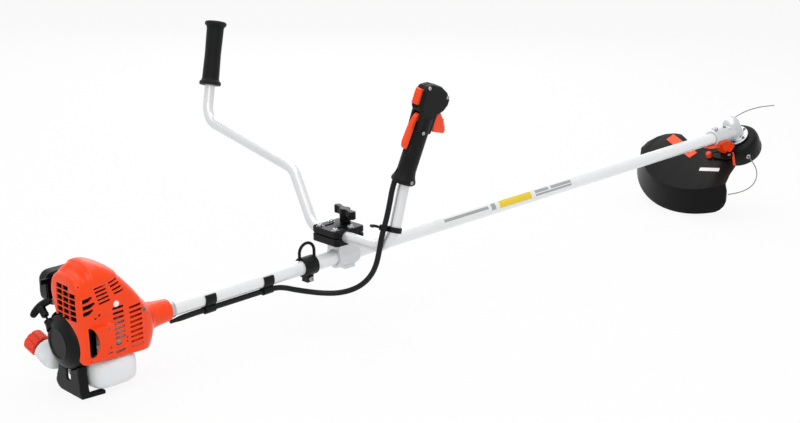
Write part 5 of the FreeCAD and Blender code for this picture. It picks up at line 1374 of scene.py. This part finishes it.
    def _vents(self, shaft: Place) -> Form:
        """The slots, the louvres, the round hole, the gills and the grid's cells."""
        tools = Form(shaft)
        side = shaft.turned(90, "x")
        for group in self.slots + self.louvres:
            group.add_tools(tools, side)
        turns = [k * math.tau / 24 for k in range(24)]
        x, z = self.hole
        reach = self.hole_radius
        hole = [(x + reach * math.cos(turn), z + reach * math.sin(turn)) for turn in turns]
        tools.prism(hole, 38, 60, side)
        for row, reach in enumerate(self.gill_reaches):
            start, low = -182.0, 49.0 + self.gill_step * row
            gill = [
                (start, low), (start + reach * 0.6, low + 1.2), (start + reach, low + 6.3),
                (start + reach * 0.9, low + 8.9), (start + reach * 0.45, low + 7.4),
                (start, low + 6.6),
            ]
            tools.prism(rounded(gill, 1.2, 3), 30, 60, side)
        rear = shaft.turned(-90, "y")
        for row in range(self.grid_rows):
            for column in range(self.grid_columns):
                if column == 0 and row == self.grid_rows - 1:
                    continue
                low = self.grid_corner[0] + self.grid_step[0] * row
                start = self.grid_corner[1] + self.grid_step[1] * column
                high, end = low + self.grid_cell[0], start + self.grid_cell[1]
                cell = [(low, start), (low, end), (high, end), (high, start)]
                tools.prism(rounded(cell, 0.8, 2), 175, 205, rear)
        return tools

    def _film(self, shaft: Place) -> None:
        """A small plain round film where a maker would stick one."""
        film = Form(shaft.turned(90, "x").moved(-128, 55.5, 48.9))
        film.lathe([(0, -1), (4.6, -1), (4.6, 0.9), (4.3, 1.05), (0, 1.05)], 32)
        film.piece("cover_film", "machine", LABEL_FILM)


@dataclass(frozen=True)
class PowerHead:
    """The engine's working parts, seen through the vents and from the left."""

    def build(self, shaft: Place) -> None:
        """Dress the castings and the running gear."""
        dress(DIECAST, "crankcase", "cylinder", "piston", "flywheel_fan", soften=0.4)
        dress(HEATED, "muffler", soften=0.8)
        dress(STEEL, "ball_bearings", "clutch_drum", "clutch_shoes", "connecting_rod", "crankshaft")
        dress(GRIP_TPE, "spark_plug", soften=0.5)
        dress(ZINC, "collar_ring", soften=0.5)
        side = shaft.turned(90, "x")
        places = [side.moved(x, z, 43.5) for z in (42, 70) for x in (-150, -113)]
        Screw(2.8, 1.4, finish=STEEL).build_all("muffler_screw", places, "machine")


@dataclass(frozen=True)
class Starter:
    """The recoil starter behind the engine: its dome, rope, pulley and T handle."""

    dome: Outline = (
        (0, 198.9), (21.2, 198.9), (21.9, 200.0), (23.6, 200.0), (24.6, 199.2), (30.5, 197.6),
        (35.8, 194.6), (39.8, 190.2), (42.2, 184.5), (43.0, 177.5), (43.0, 168.4), (40.6, 168.4),
        (40.6, 178), (39.4, 183.8), (36.6, 188.6), (32.4, 192.4), (27, 195), (20, 196.2), (0, 196.4)
    )
    guide: Outline = (
        (2.2, -1), (9.5, -1), (8.4, 3), (7.2, 7), (6.6, 11), (7.1, 12.6), (6.5, 14), (3.6, 14),
        (2.2, 12.4),
    )
    stem: Outline = (
        (0, 20.6), (2.2, 20.6), (5.2, 21.4), (6.0, 24), (5.6, 29), (6.2, 34), (6.6, 38), (0, 38),
    )
    tee_height: float = 39.6
    tee_radius: float = 5.7
    tee_reach: float = 21.0
    tee_turn: float = 121.0
    tee_droop: float = 5.0
    rope_radius: float = 1.7
    rope_ends: Point = (2.0, 22.0)
    stretch_from: float = 14.2
    stretch_to: float = 20.4

    def build(self, shaft: Place, rope: Place) -> None:
        """Make the dome, the guide and the handle."""
        form = Form(shaft).lathe(self.dome, 96, shaft.facing(-1, 0, 0))
        form.lathe(self.guide, 40, rope)
        form.piece("starter_dome", "machine", CASE_NYLON, soften=0.4, replaces=("starter_housing",))
        form = Form(rope).lathe(self.stem, 40)
        tee = rope.turned(self.tee_turn, "z")
        line = []
        for i in range(33):
            share = i / 16 - 1
            height = self.tee_height - self.tee_droop * share ** 2
            line.append(tee.at(self.tee_reach * share, 0, height))
        form.tube(line, self.tee_radius, 24, taper=self._fullness)
        form.piece("starter_tee", "pull_handle", CASE_NYLON, replaces=("starter_handle",))
        dress(CASE_NYLON, "starter_pulley", soften=0.4)
        self._cord(rope)

    def _cord(self, rope: Place) -> None:
        """The stretch of rope between the guide and the handle."""
        low, high = self.rope_ends
        line = [rope.at(0, 0, low + (high - low) * i / 80) for i in range(81)]
        cord = Form(rope).tube(line, self.rope_radius, 16).unplaced("starter_cord", ROPE_BRAID)
        rope.at(0, 0, self.stretch_from)
        rope.at(0, 0, self.stretch_to)
        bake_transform(cord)
        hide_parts("starter_rope")
        log.info("piece %s stretches from machine to pull_handle", cord.name)

    def _fullness(self, share: float) -> float:
        """The share of the T handle's thickness along its length: full, with round ends."""
        out = 2 * share - 1
        return max(1 - abs(out) ** 9, 0.0) ** 0.5 * (1 - 0.1 * out ** 2) + 0.02


@dataclass(frozen=True)
class Breathing:
    """The air cleaner, the carburettor, the primer bulb, the choke and the hoses."""

    spring_at: Spot = (-152.0, 40.0, 79.5)
    spring_long: float = 20.0
    spring_radius: float = 3.0
    spring_turns: int = 9
    wheel: Outline = (
        (0, 74.7), (8.6, 74.7), (9, 76), (9, 79.6), (8.2, 81.4), (4.2, 81.7), (3.8, 80.6), (0, 80.6)
    )

    def build(self, shaft: Place) -> None:
        """Mould the cleaner's lid and wheel and dress the rest."""
        remould(
            "air_cleaner_lid", ("air_cleaner_cover",), "machine", CASE_NYLON, voxel=1.3, passes=8,
            keep=0.5
        )
        dress(CASE_NYLON, "air_cleaner_base", soften=0.8)
        self._seam(shaft)
        out = shaft.turned(-90, "x")
        wheel = Form(out.moved(-143, -64, 0)).lathe(self.wheel, 60, ring_shape=self._wheel_ribs)
        wheel.piece("air_cleaner_wheel", "filter_knob", CASE_NYLON, replaces=("air_cleaner_knob",))
        dress(DIECAST, "carburettor", soften=0.6)
        dress(BULB_PU, "purge_bulb")
        dress(HOSE_NBR, "fuel_lines")
        dress(CASE_NYLON, "choke_lever", soften=0.6)
        places = [out.moved(x, -z, 49.4) for z in (43, 69) for x in (-138, -112)]
        Screw(2.2, 1.6, Drive.CROSS).build_all("carburettor_screw", places, "machine")
        self._linkage(shaft)

    def _wheel_ribs(self, index: int, angle: float) -> float:
        """Twelve ribs on the wheel's rim."""
        return 1 + 0.05 * math.cos(12 * angle) * (2 <= index <= 4)

    def _seam(self, shaft: Place) -> None:
        """The rim that stands proud where the lid meets its plate."""
        outer = rounded([(-181.2, 38.2), (-105, 38.2), (-105, 89.9), (-181.2, 89.9)], 15, 8)
        inner = rounded([(-178.8, 40.4), (-107.4, 40.4), (-107.4, 87.6), (-178.8, 87.6)], 13, 8)
        side = shaft.turned(90, "x")
        low, high = -52.6, -55.4
        rings = ((outer, low), (outer, high), (inner, high), (inner, low), (outer, low))
        sections = [[(x, z, level) for x, z in outline] for outline, level in rings]
        rim = Form(side).loft(sections, closed=True)
        rim.piece("air_cleaner_rim", "machine", CASE_NYLON, soften=0.4)

    def _linkage(self, shaft: Place) -> None:
        """The throttle lever, its return spring and the cable's bracket on the carburettor."""
        count = self.spring_turns * 16
        coil = shaft.moved(*self.spring_at)
        line = []
        for i in range(count + 1):
            turn = i * math.tau / 16
            reach = self.spring_long * i / count
            line.append(coil.at(reach, self.spring_radius * math.cos(turn),
                                self.spring_radius * math.sin(turn)))
        Form(shaft).tube(line, 0.6, 8).piece("throttle_spring", "machine", ZINC)
        plate = rounded([(-158, 28), (-143, 28), (-143, 34), (-150, 46), (-158, 46)], 2, 4)
        bracket = Form(shaft).prism(plate, 62.5, 64)
        bracket.piece("cable_bracket", "machine", ZINC, soften=0.3)
        arm = rounded([(-133, 31), (-119, 31), (-116, 36), (-119, 43), (-133, 43)], 3, 4)
        Form(shaft).prism(arm, 75.6, 77.4).piece("throttle_arm", "machine", ZINC, soften=0.3)
        Screw(3.4, 2.4).build("throttle_arm_nut", shaft.moved(-126, 37, 77.4), "machine")


@dataclass(frozen=True)
class Tank:
    """The blown saddle tank with its filler neck, and the ribbed cap."""

    main_low: Spot = (-169.0, -50.0, -76.5)
    main_high: Spot = (-91.5, 58.0, -24.0)
    lobe_low: Spot = (-191.0, 44.0, -63.0)
    lobe_high: Spot = (-137.0, 78.0, -24.5)
    case_radius: float = 36.2
    case_step: float = 8.6
    case_step_at: float = -105.0
    case_step_run: float = 3.5
    neck: Outline = ((0, -36), (18, -36), (17.2, -20), (16.2, -12.2), (0, -12.2))
    cap_side: Outline = (
        (0, -9.6), (12.4, -9.6), (12.4, -10.4), (15.9, -10.4), (17.4, -9.0), (17.5, 2), (17.2, 8.2),
        (15.6, 10.4), (11.4, 10.8), (10.4, 9.4), (0, 9.4),
    )

    def build(self, shaft: Place, cap: Place) -> None:
        """Blow the tank and mould the cap."""
        form = Form(shaft)
        form.cushion(self.main_low, self.main_high, power=4.2)
        form.cushion(self.lobe_low, self.lobe_high, power=3.6)
        form.lathe(self.neck, 40, cap)
        tank = melt(
            "tank_body", form.mesh, TANK_HDPE, voxel=1.7, passes=14, place=shaft, sculpt=self._clear
        )
        attach(tank, "machine", TANK_HDPE.slot, "fuel_tank")
        form = Form(cap).lathe(self.cap_side, 160, ring_shape=self._ribs)
        form.box((-10.2, -1.6, 9.2), (10.2, 1.6, 10.9))
        form.piece("tank_cap_moulded", "tank_cap", CAP_HDPE, soften=0.3, replaces=("fuel_cap",))

    def _clear(self, point: Vector) -> Vector:
        """A point of the tank's wall, moved out where the crankcase needs room."""
        reach = math.hypot(point.y, point.z)
        rise = smooth_step((point.x - self.case_step_at) / self.case_step_run)
        clear = self.case_radius + self.case_step * rise
        if reach < clear and point.x > self.main_low[0]:
            return Vector((point.x, point.y * clear / reach, point.z * clear / reach))
        return point

    def _ribs(self, index: int, angle: float) -> float:
        """Deep flats between ten ribs on the cap's side."""
        if not 3 <= index <= 7:
            return 1.0
        return 1.0 - 0.11 * (1 - smooth_step(abs(math.sin(5 * angle)) * 1.7))


@dataclass(frozen=True)
class Stand:
    """The engine stand with its collar round the starter."""

    collar_inner: float = 43.3
    collar_outer: float = 46.2
    collar_span: Point = (169.0, 186.4)
    collar_from: float = -205.0
    collar_step: float = 6.6

    def build(self, shaft: Place) -> None:
        """Mould the stand and its collar."""
        remould(
            "stand_moulded", ("engine_stand",), "machine", CASE_NYLON, voxel=1.3, passes=5, keep=0.6
        )
        turns = [math.radians(self.collar_from + self.collar_step * k) for k in range(21)]
        outline = [
            (-radius * math.cos(turn), -radius * math.sin(turn))
            for radius, arc in ((self.collar_outer, turns), (self.collar_inner, turns[::-1]))
            for turn in arc
        ]
        collar = Form(shaft.turned(-90, "y")).prism(outline, *self.collar_span)
        collar.piece("stand_collar", "machine", CASE_NYLON, soften=0.8)


@dataclass(frozen=True)
class ShaftSet:
    """The long tube with its films, clips and hanger, and the drive shaft in it."""

    film_from: float = 566.0
    film_long: float = 404.0
    film_radius: float = 12.82
    print_radius: float = 12.92
    greys: tuple[tuple[float, float, float, float], ...] = (
        (590, 118, 132, 158), (716, 12, 120, 178), (843, 40, 122, 150), (890, 62, 122, 150),
        (843, 109, 158, 176),
    )

    def build(self, shaft: Place) -> None:
        """Dress the tube and put on what it carries."""
        dress(TUBE_POWDER, "shaft_tube")
        dress(STEEL, "drive_shaft", "shaft_bushes")
        dress(CASE_NYLON, "cable_clips", "harness_hanger", soften=0.8)
        patch("tube_film", shaft, "machine", LABEL_FILM, self.film_radius,
              self.film_from, self.film_long, low=112, high=186)
        patch(
            "tube_film_band", shaft, "machine", LABEL_YELLOW, self.print_radius, 739, 92, low=116,
            high=182
        )
        for index, area in enumerate(self.greys):
            patch(f"tube_film_grey_{index}", shaft, "machine", LABEL_GREY, self.print_radius, *area)


@dataclass(frozen=True)
class HandleClamp:
    """The cast bracket, the two clamp blocks, their bolts and the wing knob."""

    def build(self, shaft: Place) -> None:
        """Mould and bolt the clamp."""
        remould(
            "handle_bracket_cast", ("handle_bracket",), "machine", DIECAST, voxel=1.2, passes=6,
            keep=0.6
        )
        for level, node in (("low", "clamp_lower"), ("high", "clamp_upper")):
            remould(
                f"clamp_block_{level}", (node,), "machine", CASE_NYLON, voxel=1.1, passes=4,
                keep=0.5
            )
        remould(
            "wing_knob_moulded", ("wing_knob",), "clamp_knob", CASE_NYLON, voxel=0.9, passes=7,
            keep=0.6
        )
        bolt = Screw(4.5, 4, shank=24)
        washer = [(4.9, -0.4), (5.7, -0.4), (5.7, 0.5), (4.9, 0.5)]
        for index, spot in enumerate(((322, -16), (322, 24), (352.1, -20), (352.1, 28))):
            place = shaft.moved(*spot, 53)
            Form(place).lathe(washer, 40).piece(f"clamp_washer_{index}", "machine", ZINC)
            bolt.build(f"clamp_bolt_{index}", place, "machine", "clamp_bolts")
        hanger = shaft.turned(90, "x").moved(272, -20.7, 7)
        Screw(4.5, 4, shank=12).build("hanger_bolt", hanger, "machine", "clamp_bolts")
        ribs = ((316.5, 333, -25), (316.5, 333, 30), (330, 347, -9), (330, 347, 17))
        for index, (start, end, y) in enumerate(ribs):
            rib = Form(shaft).box((start, y, 52), (end, y + 3, 54.6))
            rib.piece(f"clamp_rib_{index}", "machine", CASE_NYLON, soften=0.7)


@dataclass(frozen=True)
class Handlebar:
    """The U bar, the plain left grip and the clip that holds the conduit to the bar."""

    top: Point = (433.5, 309.0)
    low: Point = (406.8, 132.8)
    grip_long: float = 120.0
    flange: float = 7.0
    cuff: Outline = (
        (9.6, 0), (19.4, 0), (20.5, 1.4), (20.5, 5.4), (19.2, 7.0), (17.4, 8.6), (16.2, 12.5),
    )
    end: Outline = (
        (16.2, 107.6), (17.4, 111.4), (19.2, 113), (20.5, 114.6), (20.5, 118.2), (19, 120),
        (9.6, 119.9), (9.6, 113),
    )
    plug: Outline = (
        (0, 118.4), (9.6, 118.4), (9.6, 119.8), (8.6, 120.4), (0, 120.6),
    )
    stem_side: float = -134.0
    clip_height: float = 31.0
    clip_run: float = 9.0
    bar_ring: Point = (9.6, 11.8)
    cable_ring: Point = (5.4, 7.4)
    web_insets: Point = (10.6, 6.2)
    web_half: float = 2.2
    hook_out: float = 14.5
    hook_bend: float = 7.2
    hook_radius: float = 2.3

    def build(self, bar: Place, shaft: Place, cable: ThrottleCable) -> None:
        """Dress the bar and mould the left grip and the clip."""
        dress(BAR_LACQUER, "handlebar")
        run = Vector((0.0, self.top[0] - self.low[0], self.top[1] - self.low[1])).normalized()
        base = Vector((0.0, *self.top)) - run * (self.grip_long - self.flange)
        place = bar.moved(*base).facing(*run)
        hand = [(15.2 + 0.9 * abs(k / 12 - 1), 14 + 7.4 * k / 2) for k in range(25)]
        form = Form(place).lathe([*self.cuff, *hand, *self.end], 96, ring_shape=self._flutes)
        form.piece("left_grip_moulded", "handlebar_set", GRIP_TPE, replaces=("left_grip",))
        Form(place).lathe(self.plug, 48).piece("left_grip_plug", "handlebar_set", GRIP_TPE)
        self._clip(bar, shaft, cable)

    def _flutes(self, index: int, angle: float) -> float:
        """Fine lengthwise flutes on the hand's part of the grip."""
        return 1 + 0.012 * math.cos(24 * angle) if 8 <= index <= 30 else 1.0

    def _clip(self, bar: Place, shaft: Place, cable: ThrottleCable) -> None:
        """The hooked clip that ties the conduit to the bar."""
        points = smooth_line([shaft.at(*spot) for spot in cable.route])
        line = [bar.local(point) for point in points]
        near = min(line[len(line) // 2:], key=lambda spot: abs(spot.z - self.clip_height))
        stem = bar.moved(0, self.stem_side, self.clip_height)
        tied = bar.moved(near.x, near.y, self.clip_height)
        form = Form(bar)
        run = self.clip_run
        for place, (inner, outer) in ((stem, self.bar_ring), (tied, self.cable_ring)):
            form.lathe([(inner, 0), (outer, 0), (outer, run), (inner, run)], 40, place)
        apart = Vector((near.x, near.y - self.stem_side))
        ahead = apart.normalized()
        side = Vector((-apart.y, apart.x)).normalized() * self.web_half
        start = ahead * self.web_insets[0]
        end = apart - ahead * self.web_insets[1]
        if (end - start).dot(apart) > 0:
            web = [start + side, end + side, end - side, start - side]
            form.prism([(spot.x, spot.y) for spot in web], 0.6, run - 0.6, stem)
        centre = apart + ahead * self.hook_out
        hook = []
        for k in range(17):
            turn = math.radians(-40 + 15 * k)
            spot = centre + Vector((math.cos(turn), math.sin(turn))) * self.hook_bend
            hook.append(stem.at(spot.x, spot.y, run / 2))
        form.tube(hook, self.hook_radius, 14)
        form.piece("conduit_clip", "handlebar_set", CASE_NYLON, soften=0.4)


@dataclass(frozen=True)
class ThrottleGrip:
    """The right-hand grip with its trigger, lockout lever, stop switch and screws."""

    def build(self, grip: Place) -> None:
        """Mould the halves and fit the controls."""
        for hand in ("left", "right"):
            remould(
                f"grip_half_{hand}", (f"throttle_grip_{hand}",), "handlebar_set", GRIP_TPE,
                voxel=0.95, passes=3, keep=0.55
            )
        self._trigger(grip)
        self._lever(grip)
        dress(TRIGGER_ACETAL, "stop_switch", soften=0.8)
        self._switch_ribs(grip)
        side = grip.turned(90, "x")
        spots = ((-24, 154, 11.3), (22, 146, 11.3), (-10, 82, 14.4), (-5.5, 0, 19.3))
        places = [side.moved(*spot) for spot in spots]
        screw = Screw(3.0, 1.6, Drive.CROSS, shank=9)
        screw.build_all("grip_screw", places, "handlebar_set", "grip_fasteners")

    def _trigger(self, grip: Place) -> None:
        """The trigger: a crowned blade with ribs where the finger lies."""
        outline = [(9.5, 117), (24, 118), (33, 110)]
        front, back = Vector((33.5, 109.5)), Vector((45.6, 91))
        ribs = 6
        out = Vector((0.83, 0.56))
        for k in range(ribs):
            for share, lift in ((0.05, 0.0), (0.25, 1.7), (0.65, 1.7), (0.8, 0.0)):
                spot = front.lerp(back, (k + share) / ribs) + out * lift
                outline.append((spot.x, spot.y))
        outline += [(46, 88), (43, 86.2), (20, 85.4), (17.4, 96), (12.4, 107)]
        blade = Form(grip.turned(90, "x")).prism(outline, -6, 6)
        blade.piece("trigger_blade", "trigger", TRIGGER_ACETAL, soften=0.5,
                    replaces=("throttle_trigger",))

    def _lever(self, grip: Place) -> None:
        """The lockout lever along the grip's back."""
        outline = [
            (-15, 110), (-22, 111), (-27, 104), (-31.5, 86), (-33.5, 60), (-31, 52), (-25, 49),
            (-24, 56), (-22.5, 98), (-15, 100),
        ]
        blade = Form(grip.turned(90, "x")).prism(rounded(outline, 2.6, 4), -4.2, 4.2)
        blade.piece("lockout_blade", "lockout", TRIGGER_ACETAL, soften=1.0,
                    replaces=("lockout_lever",))

    def _switch_ribs(self, grip: Place) -> None:
        """Three ribs across the stop switch for the thumb."""
        for k in range(3):
            level = 132.5 + 4.6 * k
            rib = Form(grip).box((-39.0, -4.6, level), (-37.4, 4.6, level + 1.6))
            rib.piece(f"stop_switch_rib_{k}", "switch", TRIGGER_ACETAL, soften=0.5)


@dataclass(frozen=True)
class GearHead:
    """The cast gear case at the end of the tube, with its bevel pair and bolts."""

    def build(self, shaft: Place, head: Place) -> None:
        """Cast the case, bolt it and dress the gears."""
        remould("gear_case_cast", ("gear_case",), "machine", DIECAST, voxel=1.1, passes=4, keep=0.6)
        dress(STEEL, "bevel_gear", "bevel_pinion", "output_shaft")
        up = head.turned(180, "x")
        turns = (25, 80, 150, 210, 280, 335)
        places = [up.turned(turn, "z").moved(24.4, 0, -10.2) for turn in turns]
        Screw(2.9, 2.4, finish=STEEL).build_all("case_bolt", places, "machine")
        ear = shaft.turned(90, "x").moved(1474, 21, 3.9)
        Screw(3.4, 3.0).build("case_clamp_bolt", ear, "machine")
        filler = shaft.turned(90, "x").turned(-90, "x").moved(1512, 0, 17.6)
        Screw(3.6, 2.2, finish=STEEL).build("case_grease_plug", filler, "machine")


@dataclass(frozen=True)
class Shield:
    """The shield, its bracket and what is fixed on its plate; places are in the head's frame."""

    plate: float = 14.0
    corner: Outline = (
        (-90, 10), (-54, 10), (-52, 34), (-50.5, 48), (-49, 58), (-45, 66), (-38, 71.5), (-28, 75),
        (-16, 77), (-90, 90),
    )
    strip: Outline = ((48.6, -22.5), (83.6, -46.6), (86.2, -43.0), (50.6, -18.2))
    knob: Outline = (
        (0, -1), (7.5, -1), (7.5, 3), (6.6, 4.6), (6.4, 8.8), (5.2, 10.2), (0, 10.6),
    )
    boss: Outline = ((52, -20), (58, -27), (71, -27), (77, -17), (78, 16), (52, 17))
    arm: Outline = (
        (1437, -12.4), (1480, -12.4), (1482, -21.5), (1458, -20), (1437, -16.5),
    )
    bridge: Outline = (
        (52, 2), (44.5, 21), (40, 36), (38, 60), (38, 98), (54, 98), (62, 40), (62, 2),
    )

    def build(self, shaft: Place, head: Place) -> None:
        """Dress the shield and fix its parts on."""
        self._moulding(head)
        dress(COVER_ABS, "shield_bracket", soften=0.8)
        dress(ZINC, "line_knife", soften=0.2)
        up = head.turned(180, "x")
        film = Form(up.moved(110, -7, -self.plate).turned(-78, "z"))
        film.prism(rounded([(-24, -5), (24, -5), (24, 5), (-24, 5)], 1.5, 3), -0.3, 0.25)
        film.piece("shield_film", "machine", LABEL_FILM)
        strip = rounded(self.strip, 1.2, 3)
        form = Form(head).prism(strip, self.plate - 1.6, self.plate + 3.4)
        form.piece("shield_edge_strip", "machine", COVER_ABS, soften=0.5)
        form = Form(up.moved(71.6, -29, -self.plate)).lathe(self.knob, 60, ring_shape=self._lobes)
        form.piece("shield_knob", "machine", COVER_ABS)
        self._lever(head, up)
        form = Form(head).prism(rounded(self.boss, 3, 4), self.plate - 5.4, self.plate + 1)
        form.piece("shield_boss", "machine", SHIELD_PP, soften=1.2)
        places = [up.moved(x, y, z - self.plate) for x, y, z in ((62.5, 20, 5.4), (47, -6, 4.4))]
        Screw(3.4, 2.4).build_all("shield_bolt", places, "machine")
        form = Form(shaft.turned(90, "x")).prism(rounded(self.arm, 2, 3), -11, 11)
        form.piece("bracket_arm", "machine", COVER_ABS, soften=1.5)
        form = Form(head).prism(rounded(self.bridge, 3, 3), self.plate, self.plate + 3.2)
        form.piece("shield_bridge", "machine", SHIELD_PP, soften=0.8)

    def _lobes(self, index: int, angle: float) -> float:
        """Eight shallow lobes round the knob, above its foot."""
        return 1 - 0.07 * math.cos(8 * angle) * (index > 2)

    def _lever(self, head: Place, up: Place) -> None:
        """The bent lever beside the knob; `up` is the head's place turned over."""
        line = [up.at(66, -25, 3.4 - self.plate), up.at(66, -24.6, 3.42 - self.plate)]
        for k in range(9):
            line.append(up.at(63 - 0.9 * k, -22 + 2.1 * k, 4 + 0.5 * k - self.plate))
        Form(head).tube(line, 1.7, 12).piece("shield_lever", "machine", CASE_NYLON)

    def _moulding(self, head: Place) -> None:
        """The shield itself, whose skirt ends in a round corner on the right."""
        source = bmesh.new()
        source.from_mesh(frame["nodes"]["shield"].data)
        bmesh.ops.remove_doubles(source, verts=source.verts, dist=SAME_SPOT)
        piece = shown("shield_moulded", baked("shield_moulded", source), SHIELD_PP)
        carve(piece, Form(head).prism(self.corner, 45, 240, head.facing(1, 0, 0)))
        soften_edges(piece, 1.0)
        attach(piece, "machine", SHIELD_PP.slot, "shield")


@dataclass(frozen=True)
class LineHead:
    """The line head: its drum, cover, spool, eyelets and bump knob."""

    ring: Outline = (
        (2.0, -1), (5.2, -1), (5.6, 0.6), (4.8, 1.8), (3.2, 1.9), (2.2, 1.0),
    )
    knob: Outline = (
        (5.8, 56), (22, 56), (22, 59), (25.8, 59), (26, 62), (26, 70), (24.6, 73.6), (19.5, 78.4),
        (15, 80), (0, 80),
    )
    bore: Outline = ((0, 76.4), (5.8, 76), (5.8, 56))

    def build(self, head: Place) -> None:
        """Dress the drum and mould the knob."""
        dress(CASE_NYLON, "head_drum", "head_cover", soften=1.2)
        dress(CASE_NYLON, "line_spool", soften=0.5)
        dress(ZINC, "line_eyelets", soften=0.5)
        for index, turn in enumerate((125, -55)):
            place = head.turned(turn, "z").moved(47.4, 0, 45).facing(1, 0, 0)
            Form(place).lathe(self.ring, 40).piece(f"line_ring_{index}", "cutting_head", ZINC)
        form = Form(head).lathe(self.knob, 120, ring_shape=self._grips).lathe(self.bore, 120)
        form.piece("bump_knob_moulded", "bump_feed", CASE_NYLON, soften=0.4,
                   replaces=("bump_knob",))
        ribs = Form(head)
        for k in range(24):
            ribs.box((47.2, -1.0, 49.5), (48.5, 1.0, 59.6), head.turned(15 * k, "z"))
        ribs.piece("drum_ribs", "cutting_head", CASE_NYLON, soften=0.3)

    def _grips(self, index: int, angle: float) -> float:
        """Ten hollows round the knob for the ground and the fingers."""
        return 1 - 0.05 * (0.5 + 0.5 * math.cos(10 * angle)) * (3 < index < 8)


# ------------------------------------------------------------------ the whole


def main() -> None:
    """Build the scene in order and report each piece."""
    logging.basicConfig(level=logging.INFO, format="%(name)s: %(message)s")
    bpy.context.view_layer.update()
    places = Places()
    shaft, head = places.shaft, places.head
    Studio().build()
    cable = ThrottleCable()
    cable.build(shaft)
    CuttingLines().build(head)
    EngineCover().build(shaft)
    PowerHead().build(shaft)
    Starter().build(shaft, places.rope)
    Breathing().build(shaft)
    Tank().build(shaft, places.cap)
    Stand().build(shaft)
    ShaftSet().build(shaft)
    HandleClamp().build(shaft)
    Handlebar().build(places.bar, shaft, cable)
    ThrottleGrip().build(places.grip)
    GearHead().build(shaft, head)
    Shield().build(shaft, head)
    LineHead().build(head)


if __name__ == "__main__":
    main()
